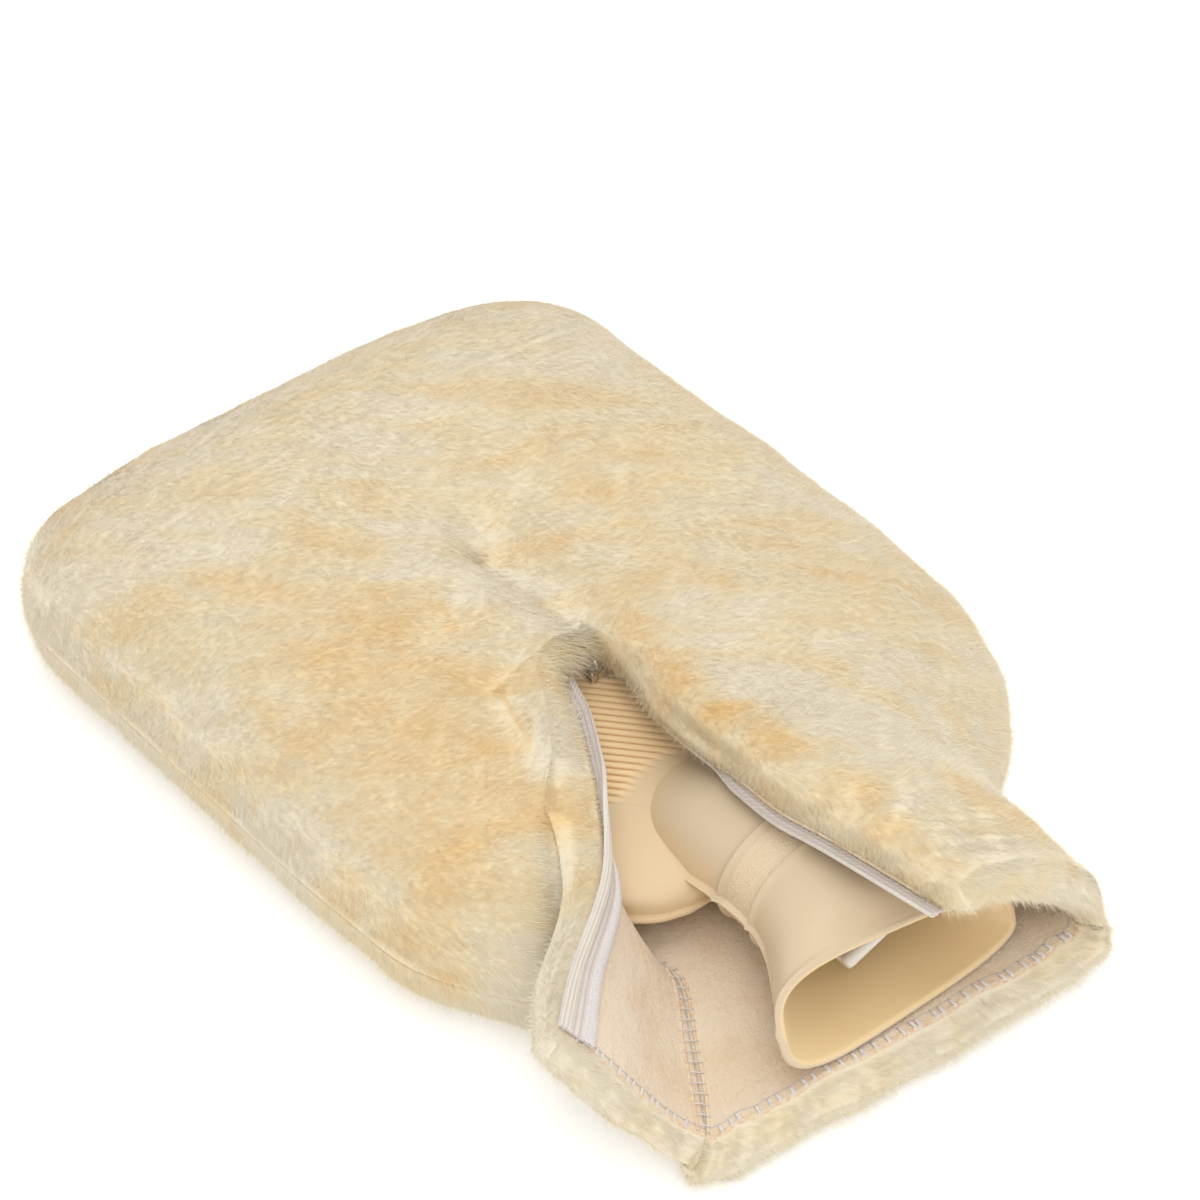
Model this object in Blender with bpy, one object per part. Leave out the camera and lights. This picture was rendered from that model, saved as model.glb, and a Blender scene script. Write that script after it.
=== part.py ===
"""Sheepskin hot water bottle cover, lying on its back with its front zip open and the rubber bottle inside.

Tables are in millimetres. X runs across the cover, +Y towards its closed end, +Z up from the surface it
lies on. Each cover panel is one solid: the skin's suede face inside, the clipped wool's surface outside."""

import math

import bmesh
import bpy
import numpy as np
from mathutils import Matrix, Vector

MM = 0.001
SEAM_GAP = 1.0  # clearance between the front and the back along their seam
PILE = 18.0  # skin and clipped wool together
SEAM_Z = 26.0  # height of the side seam round the body
HALF_WIDTH = 106.0  # centre line to side seam
CORNER = 36.0  # radius of the seam at the closed end's corners
CLOSED_END = 160.0  # seam across the closed end
ROUND_FROM = 118.0  # where the body starts to come down to the closed end
CROWN = 49.0  # suede under the front's crown
FLOOR = 18.0  # suede on top of the back's wool
OVERHANG = 8.0  # wool that rolls past a cut edge
APEX_ROW = 7  # the row of the tables where the zip's opening ends
STEPS = 3  # sections made between two rows
END_STEPS = 8  # sections in the rounded closed end
ACROSS = 12  # faces from the seam to the opening's edge or the centre line
BACK_ACROSS = 9  # faces from the seam to the back's centre line
ROLL = 3  # points in the rolled wool along a cut edge

# Side seam, one row for each section from the mouth up: seam x, y, z, then where the wool's outline is.
SEAM_COLUMNS = ("x", "y", "z", "wool_x", "wool_y")
SEAM_LEFT = (
    (-86, -166, 11, -98, -169),
    (-69, -140, 13, -81, -140),
    (-55, -114, 16, -67, -111),
    (-72, -97, 20, -83, -107),
    (-90, -86, 23, -101, -99),
    (-102, -63, 25, -119, -70),
    (-105, -36, 26, -123, -38),
    (-106, -10, 26, -124, -10),
    (-106, 22, 26, -124, 22),
    (-106, 52, 26, -124, 52),
    (-106, 86, 26, -124, 86),
    (-106, 118, 26, -124, 118),
)
SEAM_RIGHT = (
    (55, -180, 18, 66, -179),
    (56, -150, 18, 69, -150),
    (57, -124, 18, 68, -128),
    (80, -104, 20, 91, -114),
    (95, -86, 23, 107, -96),
    (103, -62, 25, 119, -68),
    (106, -36, 26, 123, -38),
    (106, -10, 26, 124, -10),
    (106, 22, 26, 124, 22),
    (106, 52, 26, 124, 52),
    (106, 86, 26, 124, 86),
    (106, 118, 26, 124, 118),
)

# Front skin on each side: the opening's edge (or the centre line above the zip), the curve's pull at the
# seam and at the edge, and the wool's depth as a vector at mid-section and at the edge.
FLAP_COLUMNS = ("x", "y", "z", "seam_x", "seam_y", "seam_z", "edge_x", "edge_y", "edge_z",
                "mid_x", "mid_y", "mid_z", "top_x", "top_y", "top_z")
FLAP_LEFT = (
    (-113, -132, 47, -10, 12, 4, 12, -20, -13, -10, 6, -9, -4, 10, -13),
    (-98, -120, 52, -12, 8, 4, 16, -6, -14, -11, 7, -8, -7, 10, -11),
    (-70, -100, 56, -6, 5, 12, 6, -4, -16, -13, 2, 0, -9, 9, -5),
    (-51, -74, 59, -4, 3, 14, -8, -3, -12, -15, -7, 4, -14, 8, 5),
    (-41, -58, 58, -2, 0, 15, -18, -4, -11, -13, -8, 12, -13, 2, 11),
    (-30, -39, 56, 0, 0, 17, -26, -4, -9, -12, -2, 14, -12, 0, 13),
    (-20, -18, 53, 0, 0, 18, -38, -3, -5, -12, 0, 14, -8, 0, 15),
    (-4, -10, 49, 0, 0, 19, -62, 0, 1, -12, 0, 14, 0, 0, 16),
    (0, 22, 48, 0, 0, 20, -78, 0, 0, -12, 0, 14, 0, 0, 16),
    (1, 52, 48, 0, 0, 20, -80, 0, 0, -12, 0, 14, 0, 0, 16),
    (0, 86, 49, 0, 0, 20, -80, 0, 0, -12, 0, 14, 0, 0, 17),
    (0, 118, 49, 0, 0, 20, -80, 0, 0, -12, 0, 14, 0, 0, 17),
)
FLAP_RIGHT = (
    (-4, -178, 62, 0, 0, 8, 25, 0, -9, 9, 0, 14, 1, 0, 17),
    (-11, -140, 64, 2, 0, 10, 28, 0, -5, 9, 0, 14, 1, 0, 17),
    (-15, -119, 64, 4, 0, 12, 34, 0, -2, 10, -2, 14, 1, 0, 17),
    (-17, -99, 61.8, 2, 0, 13, 40, 0, 0, 11, -4, 13, 0, 0, 17),
    (-19, -84, 58, 1, 0, 16, 50, 0, 1, 12, -4, 13, 0, 0, 17),
    (-17, -60, 54, 0, 0, 18, 60, 0, 0, 12, -2, 14, 0, 0, 17),
    (-9, -32, 51, 0, 0, 19, 66, 0, 0, 12, 0, 14, 0, 0, 17),
    (-4, -10, 49, 0, 0, 20, 72, 0, 1, 12, 0, 14, 0, 0, 16),
    (0, 22, 48, 0, 0, 20, 78, 0, 0, 12, 0, 14, 0, 0, 16),
    (1, 52, 48, 0, 0, 20, 80, 0, 0, 12, 0, 14, 0, 0, 16),
    (0, 86, 49, 0, 0, 20, 80, 0, 0, 12, 0, 14, 0, 0, 17),
    (0, 118, 49, 0, 0, 20, 80, 0, 0, 12, 0, 14, 0, 0, 17),
)

# Soft troughs in the front's wool: from x, y to x, y, half width, depth.
TROUGH_COLUMNS = ("x0", "y0", "x1", "y1", "width", "depth")
TROUGHS = (
    (-4, -8, 1, 46, 10, 3.0),
    (1, 49, 3, 51, 12, 2.6),
    (-46, 14, -8, 32, 12, 2.0),
    (-48, -18, -62, -64, 10, 3.0),
    (30, 60, 70, 20, 16, 1.5),
)

# Bottle, one row for each section: y, centre x, half width, underside, top, squareness of the section.
BODY_COLUMNS = ("y", "x", "half", "low", "high", "power")
BODY_SECTIONS = (
    (154, 0, 74, 28, 34, 2.6),
    (151, 0, 84, 24, 37.5, 2.6),
    (144, 0, 92, 21.5, 40.5, 2.6),
    (128, 0, 97, 20, 42.5, 2.6),
    (90, 0, 98, 19.6, 43, 2.6),
    (20, 0, 98, 19.6, 43, 2.6),
    (-36, 0, 98, 19.6, 43, 2.6),
    (-62, 1, 93, 20, 43, 2.6),
    (-78, 1, 83, 21, 42.5, 2.6),
    (-90, 0, 66, 22.5, 40, 2.6),
    (-100, -6, 50, 25, 36.5, 2.6),
    (-106, -9, 35, 27, 34, 2.6),
)
# Neck and funnel outside: y of the underside, y of the top, left x, right x, underside, top at left, top at
# right, squareness.
NECK_COLUMNS = ("y_low", "y_high", "left", "right", "low", "high_left", "high_right", "power")
NECK_SECTIONS = (
    (-70, -74, -30, 12, 24, 36, 36, 2.2),
    (-78, -80, -35, 16, 22, 47, 47, 2.2),
    (-88, -88, -37, 18, 20.5, 53, 53, 2.1),
    (-102, -101, -37, 17, 19.8, 56.4, 56.4, 2.0),
    (-116, -114, -36, 16, 19.4, 57.4, 57.4, 2.0),
    (-132, -129, -37, 18, 19.3, 57.6, 56.8, 2.1),
    (-146, -141, -42, 23, 19.0, 57.6, 53.5, 2.3),
    (-159, -152, -50, 29, 18.8, 57.0, 50.0, 2.7),
    (-170, -160, -57, 35, 18.6, 57.0, 41.0, 3.2),
    (-174, -163, -60, 37, 18.6, 57.6, 36.0, 3.4),
)
WALL = 2.4  # rubber of the funnel
FUNNEL_FLOOR = -113.0  # the hollow starts at the first section past this
RIM_ROUND = 1.0
RINGS = ((-116, 1.2), (-132, 1.2))  # raised rings round the neck: y, height
AROUND = 32
FLANGE = (3.0, 3.0)  # moulding flange round the bottle's edge: reach, thickness
FLANGE_Z = 28.5

# Stopper, turning about the neck's axis.
AXIS_X, AXIS_Z = -9.5, 35.3
SEAT_Y = -116.6
PLUG_RADIUS, PLUG_LENGTH = 12.5, 9.0
PADDLE_WIDTH, PADDLE_THICK, PADDLE_END = 25.4, 4.0, -158.0
PADDLE_ROUND = 3.5
PADDLE_TURN = 19.0  # degrees from lying flat

TAPE_WIDTH, TAPE_THICK, TAPE_LIFT = 12.0, 1.0, 1.0
COIL_WIDTH, COIL_THICK, COIL_LIFT, COIL_INSET = 3.4, 1.4, 2.9, 0.3
TAPE_PAST_EDGE = (1.5, 4.5)  # how far the tape reaches past the skin at the mouth and near the zip's end
SLIDER_SIZE = (8.0, 11.0, 3.8)
SLIDER_AT = (-5.0, -24.0, 46.0)
PULL_START, PULL_END = (0.0, -31.0, 46.4), (7.5, -54.0, 46.4)
PULL_PROFILE = ((0.0, 0.9), (2.0, 1.5), (6.0, 1.3), (12.0, 2.0), (18.0, 2.75), (22.0, 2.2), (24.0, 0.8))

WOOL = (0.86, 0.77, 0.56)
RUBBER = (0.72, 0.54, 0.33)
WHITE = (0.82, 0.81, 0.79)
METAL = (0.62, 0.63, 0.65)


def clear_scene():
    for obj in list(bpy.data.objects):
        bpy.data.objects.remove(obj, do_unlink=True)


def collection(name):
    found = bpy.data.collections.new(name)
    bpy.context.scene.collection.children.link(found)
    return found


def material(name, colour, roughness, metallic=0.0):
    made = bpy.data.materials.new(name)
    made.use_nodes = True
    shader = made.node_tree.nodes["Principled BSDF"]
    shader.inputs["Base Color"].default_value = (*colour, 1.0)
    shader.inputs["Roughness"].default_value = roughness
    shader.inputs["Metallic"].default_value = metallic
    return made


def add_object(name, bm, home, look, smooth_angle=40.0):
    """Closes the mesh's doubles, turns its faces outwards and puts it in the collection. Points are in mm."""
    bmesh.ops.remove_doubles(bm, verts=bm.verts, dist=1e-4)
    bmesh.ops.recalc_face_normals(bm, faces=bm.faces)
    bmesh.ops.transform(bm, matrix=Matrix.Scale(MM, 4), verts=bm.verts)
    mesh = bpy.data.meshes.new(name)
    bm.to_mesh(mesh)
    bm.free()
    mesh.materials.append(look)
    mesh.shade_smooth()
    mesh.set_sharp_from_angle(angle=math.radians(smooth_angle))
    obj = bpy.data.objects.new(name, mesh)
    home.objects.link(obj)
    return obj


def column(rows, columns, name):
    return np.array([row[columns.index(name)] for row in rows], float)


def smooth_rows(values, steps):
    """The values with a smooth curve's points between each two."""
    ends = np.concatenate([[2 * values[0] - values[1]], values, [2 * values[-1] - values[-2]]])
    out = []
    for i in range(len(values) - 1):
        a, b, c, d = ends[i:i + 4]
        for step in range(steps):
            t = step / steps
            out.append(b + 0.5 * t * (c - a + t * (2 * a - 5 * b + 4 * c - d + t * (3 * (b - c) + d - a))))
    out.append(values[-1])
    return np.array(out)


def table_curve(rows, columns, names, steps=STEPS):
    return np.stack([smooth_rows(column(rows, columns, name), steps) for name in names], axis=1)


def bezier(p0, p1, p2, p3, t):
    t = np.asarray(t)[:, None]
    return (1 - t) ** 3 * p0 + 3 * (1 - t) ** 2 * t * p1 + 3 * (1 - t) * t ** 2 * p2 + t ** 3 * p3


def lerp(a, b, t):
    return a + (b - a) * t


def unit(vector):
    return vector / max(np.linalg.norm(vector), 1e-9)


def corner_half_width(y, half, radius, end):
    past = max(0.0, y - (end - radius))
    return half - radius + math.sqrt(max(radius ** 2 - past ** 2, 0.0))


class Side:
    """One half of the cover: its seam, its opening's edge and the wool on it, a section for each station."""

    def __init__(self, seam_rows, flap_rows, sign):
        self.sign = sign
        self.seam = table_curve(seam_rows, SEAM_COLUMNS, ("x", "y", "z"))
        wool = table_curve(seam_rows, SEAM_COLUMNS, ("wool_x", "wool_y"))
        self.wool = np.column_stack([wool, self.seam[:, 2]])
        names = ("x", "y", "z"), ("seam_x", "seam_y", "seam_z"), ("edge_x", "edge_y", "edge_z")
        self.edge, self.seam_pull, self.edge_pull = (table_curve(flap_rows, FLAP_COLUMNS, n) for n in names)
        names = ("mid_x", "mid_y", "mid_z"), ("top_x", "top_y", "top_z")
        self.mid_wool, self.top_wool = (table_curve(flap_rows, FLAP_COLUMNS, n) for n in names)

    def skin(self, k, t):
        """Points on the suede at station k, from the seam at t = 0 to the edge at t = 1."""
        start, end = self.seam[k] + (0, 0, SEAM_GAP / 2), self.edge[k]
        return bezier(start, start + self.seam_pull[k], end + self.edge_pull[k], end, t)

    def depth(self, k, t):
        """The wool's depth as vectors, through the seam's, the middle's and the edge's."""
        t = np.asarray(t)[:, None]
        at_seam = self.wool[k] - self.seam[k]
        return (at_seam * (1 - t) * (1 - 2 * t) + self.mid_wool[k] * 4 * t * (1 - t)
                + self.top_wool[k] * t * (2 * t - 1))

    def edge_tangent(self, k):
        return unit(-self.edge_pull[k])

    def end_skin(self, angle, t):
        """The rounded closed end, at an angle from 0 where it starts to 90 at the seam."""
        y = lerp(ROUND_FROM, CLOSED_END, math.sin(angle))
        half = corner_half_width(y, HALF_WIDTH, CORNER, CLOSED_END)
        rise = (CROWN - SEAM_Z) * math.cos(angle)
        start = np.array([self.sign * half, y, SEAM_Z + SEAM_GAP / 2])
        end = np.array([0.0, y, SEAM_Z + SEAM_GAP / 2 + rise])
        pull = np.array([self.sign * half * 0.76, 0, 0])
        return bezier(start, start + (0, 0, rise * 0.87), end + pull, end, t)

    def end_wool(self, angle, t):
        y = lerp(ROUND_FROM, CLOSED_END + PILE, math.sin(angle))
        half = corner_half_width(y, HALF_WIDTH + PILE, CORNER + PILE, CLOSED_END + PILE)
        rise = (CROWN + self.top_wool[-1][2] - SEAM_Z) * math.cos(angle)
        start = np.array([self.sign * half, y, SEAM_Z + SEAM_GAP / 2])
        end = np.array([0.0, y, SEAM_Z + SEAM_GAP / 2 + rise])
        pull = np.array([self.sign * half * 0.69, 0, 0])
        return bezier(start, start + (0, 0, rise * 0.85), end + pull, end, t)


LEFT, RIGHT = Side(SEAM_LEFT, FLAP_LEFT, -1), Side(SEAM_RIGHT, FLAP_RIGHT, 1)
STATIONS = len(LEFT.seam)
APEX = APEX_ROW * STEPS
# Past the zip's end the halves are one piece, so they share their centre line.
for one, other in ((LEFT.edge, RIGHT.edge), (LEFT.top_wool, RIGHT.top_wool)):
    one[APEX:] = other[APEX:] = (one[APEX:] + other[APEX:]) / 2


def opening_width(k):
    return float(np.linalg.norm(LEFT.edge[k] - RIGHT.edge[k]))


def trough_depth(x, y):
    total = 0.0
    for row in TROUGHS:
        trough = dict(zip(TROUGH_COLUMNS, row))
        start = np.array([trough["x0"], trough["y0"]], float)
        run = np.array([trough["x1"], trough["y1"]], float) - start
        here = np.array([x, y]) - start
        t = min(max(here @ run / (run @ run), 0.0), 1.0)
        away = np.linalg.norm(here - t * run) / trough["width"]
        total += trough["depth"] * math.exp(-away * away)
    return total


def unevenness(x, y):
    """The wool's slow rise and fall, about 1 mm either way."""
    return 0.6 * math.sin(x / 17.0 + 0.8) * math.cos(y / 21.0) + 0.5 * math.sin((x + 1.7 * y) / 29.0 + 2.0)


def spread(count):
    """Parameters from 0 to 1, closer together near 1, where the curves run fastest."""
    s = np.linspace(0.0, 1.0, count + 1)
    return 0.35 * s + 0.65 * np.sin(s * math.pi / 2)


def front_sections(side):
    """(suede, wool) points of each station on one side, the wool uneven and troughed."""
    t = spread(ACROSS)
    skins, wools = [], []
    for k in range(STATIONS - 1):
        skin = side.skin(k, t)
        wool = skin + side.depth(k, t)
        lowest = side.seam[k][2] + SEAM_GAP / 2 + 6.0 * np.minimum(t * 3, 1.0)
        wool[:, 2] = np.maximum(wool[:, 2], lowest)
        skins.append(skin)
        wools.append(wool)
    for step in range(END_STEPS + 1):
        angle = math.radians(90) * step / END_STEPS
        skins.append(side.end_skin(angle, t))
        wools.append(side.end_wool(angle, t))
    for k, wool in enumerate(wools):
        inside = np.minimum(t * 2.5, 1.0) * (1.0 if k < STATIONS else math.cos(
            math.radians(90) * (k - STATIONS + 1) / END_STEPS))
        for j, point in enumerate(wool):
            point[2] += inside[j] * (unevenness(point[0], point[1]) - trough_depth(point[0], point[1]))
    return skins, wools


def mouth_direction(here, further):
    away = here - further
    away[2] = 0.0
    return unit(away)


def grid_faces(bm, rows):
    """Quads between neighbouring rows of vertices."""
    for first, second in zip(rows, rows[1:]):
        for j in range(len(first) - 1):
            corners = [first[j], first[j + 1], second[j + 1], second[j]]
            if len(set(corners)) > 2:
                bm.faces.new([v for i, v in enumerate(corners) if v not in corners[:i]])


def verts_of(bm, points):
    return [bm.verts.new(Vector(point)) for point in points]


def roll_points(side, k, skin_end, wool_end):
    """The wool's rounded edge along the opening, from the suede to the wool's surface."""
    if k >= APEX:
        return [lerp(skin_end, wool_end, (i + 1) / (ROLL + 1)) for i in range(ROLL)]
    past = min(OVERHANG, 0.36 * opening_width(k))
    middle = lerp(skin_end, wool_end, 0.5) + 2 * past * side.edge_tangent(k)
    spots = [(i + 1) / (ROLL + 1) for i in range(ROLL)]
    return [(1 - u) ** 2 * skin_end + 2 * u * (1 - u) * middle + u ** 2 * wool_end for u in spots]


def add_front_half(bm, side):
    skins, wools = front_sections(side)
    skin_rows = [verts_of(bm, row) for row in skins]
    first_wool = wools[0].copy()
    ways = [mouth_direction(skins[0][j], skins[1][j]) for j in range(ACROSS + 1)]
    for j, way in enumerate(ways):
        first_wool[j] += 2.0 * way
    wool_rows = [verts_of(bm, row) for row in [first_wool] + wools[1:]]
    grid_faces(bm, skin_rows)
    grid_faces(bm, wool_rows)
    grid_faces(bm, [[row[0] for row in skin_rows], [row[0] for row in wool_rows]])
    grid_faces(bm, [skin_rows[-1], wool_rows[-1]])
    rolls = [[skin_rows[k][-1]] + verts_of(bm, roll_points(side, k, skins[k][-1], wools[k][-1]))
             + [wool_rows[k][-1]] for k in range(APEX + 1)]
    grid_faces(bm, rolls)
    middles = [lerp(skins[0][j], wools[0][j], 0.5) + OVERHANG * ways[j] for j in range(ACROSS)]
    cap = verts_of(bm, middles) + [rolls[0][(ROLL + 1) // 2]]
    cap[-1].co += Vector(5.0 * ways[-1])
    grid_faces(bm, [skin_rows[0], cap, wool_rows[0]])
    bm.faces.new([skin_rows[0][0], cap[0], wool_rows[0][0]])
    roll = rolls[0]
    bm.faces.new([roll[0], roll[1], roll[2]])
    bm.faces.new([roll[2], roll[3], roll[4]])


def front_panel(home, look):
    bm = bmesh.new()
    add_front_half(bm, LEFT)
    add_front_half(bm, RIGHT)
    return add_object("front_panel", bm, home, look)


def back_sections():
    """(suede, wool) rows from the left seam to the right one, at the front's stations."""
    t = np.linspace(0.0, 1.0, BACK_ACROSS + 1) ** 1.3
    skins, wools = [], []

    def add(left, right, wool_left, wool_right, floor, bottom):
        halves = []
        for start, other, z_end, is_wool in ((left, right, floor, False), (right, left, floor, False),
                                             (wool_left, wool_right, bottom, True),
                                             (wool_right, wool_left, bottom, True)):
            start = start - (0, 0, SEAM_GAP / 2)
            centre = lerp(start, other, 0.5)
            centre[2] = z_end
            drop = start[2] - z_end
            reach = (start - centre) * (0.92 if is_wool else 0.8)
            reach[2] = 0.0
            half = bezier(start, start - (0, 0, max(drop, 0.0) * 0.97), centre + reach, centre, t)
            if is_wool:
                half[:, 2] = np.where(t > 0.45, 0.0, half[:, 2])
            halves.append(half)
        skins.append(np.concatenate([halves[0], halves[1][-2::-1]]))
        wools.append(np.concatenate([halves[2], halves[3][-2::-1]]))

    for k in range(STATIONS - 1):
        add(LEFT.seam[k], RIGHT.seam[k], LEFT.wool[k], RIGHT.wool[k], FLOOR - 0.6, 0.0)
    for step in range(END_STEPS + 1):
        angle = math.radians(90) * step / END_STEPS
        seam_y, wool_y = (lerp(ROUND_FROM, end, math.sin(angle)) for end in (CLOSED_END, CLOSED_END + PILE))
        seam_half = corner_half_width(seam_y, HALF_WIDTH, CORNER, CLOSED_END)
        wool_half = corner_half_width(wool_y, HALF_WIDTH + PILE, CORNER + PILE, CLOSED_END + PILE)
        # The underside stays flat almost to the end, then turns up to the seam.
        floor = SEAM_Z - SEAM_GAP / 2 - (SEAM_Z - FLOOR) * math.cos(angle)
        bottom = (SEAM_Z - SEAM_GAP / 2) * (1 - math.cos(angle) ** 0.6)
        seams = [np.array([sign * seam_half, seam_y, SEAM_Z]) for sign in (-1, 1)]
        outlines = [np.array([sign * wool_half, wool_y, SEAM_Z]) for sign in (-1, 1)]
        add(*seams, *outlines, floor, bottom)
        wools[-1][:, 2] = np.maximum(wools[-1][:, 2], bottom)
    return skins, wools


def back_panel(home, look):
    bm = bmesh.new()
    skins, wools = back_sections()
    count = len(skins[0])
    ways = [mouth_direction(skins[0][j], skins[1][j]) for j in range(count)]
    first_wool = wools[0].copy()
    for j, way in enumerate(ways):
        first_wool[j] += 2.0 * way
    skin_rows = [verts_of(bm, row) for row in skins]
    wool_rows = [verts_of(bm, row) for row in [first_wool] + wools[1:]]
    grid_faces(bm, skin_rows)
    grid_faces(bm, wool_rows)
    for j in (0, -1):
        grid_faces(bm, [[row[j] for row in skin_rows], [row[j] for row in wool_rows]])
    grid_faces(bm, [skin_rows[-1], wool_rows[-1]])
    middles = [lerp(skins[0][j], wools[0][j], 0.5) + OVERHANG * ways[j] for j in range(count)]
    cap = verts_of(bm, middles)
    grid_faces(bm, [skin_rows[0], cap, wool_rows[0]])
    for j in (0, -1):
        bm.faces.new([skin_rows[0][j], cap[j], wool_rows[0][j]])
    return add_object("back_panel", bm, home, look)


def ellipse_section(left, right, low, high_left, high_right, power, y_low, y_high, inset=0.0):
    """A closed section across the bottle, its top sloping from left to right."""
    points = []
    for i in range(AROUND):
        angle = 2 * math.pi * i / AROUND
        c, s = (math.copysign(abs(v) ** (2 / power), v) for v in (math.cos(angle), math.sin(angle)))
        x = (left + right) / 2 + c * ((right - left) / 2 - inset)
        high = lerp(high_left, high_right, (x - left) / (right - left))
        up = (s + 1) / 2
        points.append((x, lerp(y_low, y_high, up), lerp(low + inset, high - inset, up)))
    return points


def loft(bm, sections):
    """A closed tube through the sections, with a face over each end."""
    rows = [verts_of(bm, points) for points in sections]
    grid_faces(bm, [row + row[:1] for row in rows])
    bm.faces.new(rows[0])
    bm.faces.new(rows[-1])


def bottle_body_mesh():
    bm = bmesh.new()
    sections = []
    for y, x, half, low, high, power in table_curve(BODY_SECTIONS, BODY_COLUMNS, BODY_COLUMNS, 2):
        sections.append(ellipse_section(x - half, x + half, low, high, high, power, y, y))
    loft(bm, sections)
    return bm


def neck_mesh():
    bm = bmesh.new()
    outside = table_curve(NECK_SECTIONS, NECK_COLUMNS, NECK_COLUMNS, 3)
    sections, inside = [], []
    for y_low, y_high, left, right, low, high_left, high_right, power in outside:
        lift = 0.0
        for ring_y, height in RINGS:
            lift = max(lift, height * math.exp(-((y_low - ring_y) / 1.6) ** 2))
        sections.append(ellipse_section(left, right, low, high_left, high_right, power, y_low, y_high, -lift))
        if y_low < FUNNEL_FLOOR:
            inside.append(ellipse_section(left, right, low, high_left, high_right, power, y_low, y_high, WALL))
    rim = outside[-1]
    rim_y = RIM_ROUND
    mid_rim = ellipse_section(*rim[2:4], *rim[4:7], rim[7], rim[0] - rim_y, rim[1] - rim_y, WALL / 2)
    loft(bm, sections + [mid_rim] + inside[::-1])
    return bm


def flange_mesh():
    """The flat moulding flange that runs round the bottle's edge."""
    reach, thick = FLANGE
    bm = bmesh.new()
    rows = table_curve(BODY_SECTIONS, BODY_COLUMNS, ("y", "x", "half"), 3)
    outline = [(x + half + reach, y) for y, x, half in rows] + [(x - half - reach, y) for y, x, half in rows[::-1]]
    face = bm.faces.new([bm.verts.new((x, y, FLANGE_Z)) for x, y in outline])
    lifted = bmesh.ops.extrude_face_region(bm, geom=[face])
    bmesh.ops.translate(bm, vec=(0, 0, thick), verts=[v for v in lifted["geom"] if isinstance(v, bmesh.types.BMVert)])
    return bm


def union(target, others):
    """Joins the others into the target with a Boolean, and keeps them as its helpers."""
    for other in others:
        joined = target.modifiers.new("join_" + other.name, "BOOLEAN")
        joined.operation = "UNION"
        joined.object = other


def bottle(home, helpers, look):
    body = add_object("bottle", bottle_body_mesh(), home, look)
    neck = add_object("bottle_neck_form", neck_mesh(), helpers, look)
    flange = add_object("bottle_flange_form", flange_mesh(), helpers, look)
    for helper in (neck, flange):
        helper.hide_render = True
        helper.display_type = "WIRE"
    union(body, (neck, flange))
    return body


def stopper(home, look):
    """A round plug with a flat paddle to turn it by, on the neck's axis."""
    bm = bmesh.new()
    length = SEAT_Y - PLUG_LENGTH / 2 - PADDLE_END
    bmesh.ops.create_cube(bm, size=1.0)
    bmesh.ops.scale(bm, vec=(PADDLE_WIDTH, length, PADDLE_THICK), verts=bm.verts)
    corners = [e for e in bm.edges if abs(e.verts[0].co.z - e.verts[1].co.z) > 1.0]
    bmesh.ops.bevel(bm, geom=corners, offset=PADDLE_ROUND, segments=4, profile=0.5, affect="EDGES")
    bmesh.ops.translate(bm, vec=(0, PADDLE_END + length / 2, 0), verts=bm.verts)
    bmesh.ops.rotate(bm, cent=(0, 0, 0), matrix=Matrix.Rotation(math.radians(-PADDLE_TURN), 3, "Y"), verts=bm.verts)
    bmesh.ops.translate(bm, vec=(AXIS_X, 0, AXIS_Z), verts=bm.verts)
    return add_object("stopper", bm, home, look)


def stopper_plug(helpers, look):
    bm = bmesh.new()
    turned = Matrix.Translation((AXIS_X, SEAT_Y - PLUG_LENGTH / 2, AXIS_Z)) @ Matrix.Rotation(math.radians(90), 4, "X")
    bmesh.ops.create_cone(bm, cap_ends=True, segments=32, radius1=PLUG_RADIUS, radius2=PLUG_RADIUS,
                          depth=PLUG_LENGTH, matrix=turned)
    plug = add_object("stopper_plug_form", bm, helpers, look)
    plug.hide_render = True
    plug.display_type = "WIRE"
    return plug


def edge_frame(side, k):
    """(edge point, way past the edge, way into the opening's inner side) at station k."""
    along = unit(side.edge[k + 1] - side.edge[max(k - 1, 0)])
    past = side.edge_tangent(k)
    inward = unit(np.cross(past, along))
    if inward @ side.top_wool[k] > 0:
        inward = -inward
    return side.edge[k], past, inward


def strip_point(side, k, distance, lift):
    """A point on the suede's side, so far back from the edge (or past it, if negative) and lifted off it."""
    edge, past, inward = edge_frame(side, k)
    if distance <= 0:
        return edge - past * distance + inward * lift
    t = np.linspace(1.0, 0.3, 60)
    points = side.skin(k, t)
    run = np.concatenate([[0.0], np.cumsum(np.linalg.norm(np.diff(points, axis=0), axis=1))])
    i = int(np.searchsorted(run, distance))
    here = lerp(points[i - 1], points[i], (distance - run[i - 1]) / (run[i] - run[i - 1]))
    along = unit(side.edge[k + 1] - side.edge[max(k - 1, 0)])
    away = unit(np.cross(unit(points[i - 1] - points[i]), along))
    if away @ inward < 0:
        away = -away
    return here + away * lift


def strip(name, side, first, last, inset, width, lift, thick, home, look):
    """A flat strip along the opening's edge, lifted off the suede."""
    bm = bmesh.new()
    sections = []
    for k in range(first, last + 1):
        past = min(lerp(*TAPE_PAST_EDGE, k / APEX), 0.36 * opening_width(k))
        spots = [inset + width * f - past for f in (0.0, 0.5, 1.0)]
        under = [strip_point(side, k, spot, lift) for spot in spots]
        over = [strip_point(side, k, spot, lift + thick) for spot in reversed(spots)]
        sections.append(under + over)
    loft(bm, sections)
    return add_object(name, bm, home, look)


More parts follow.
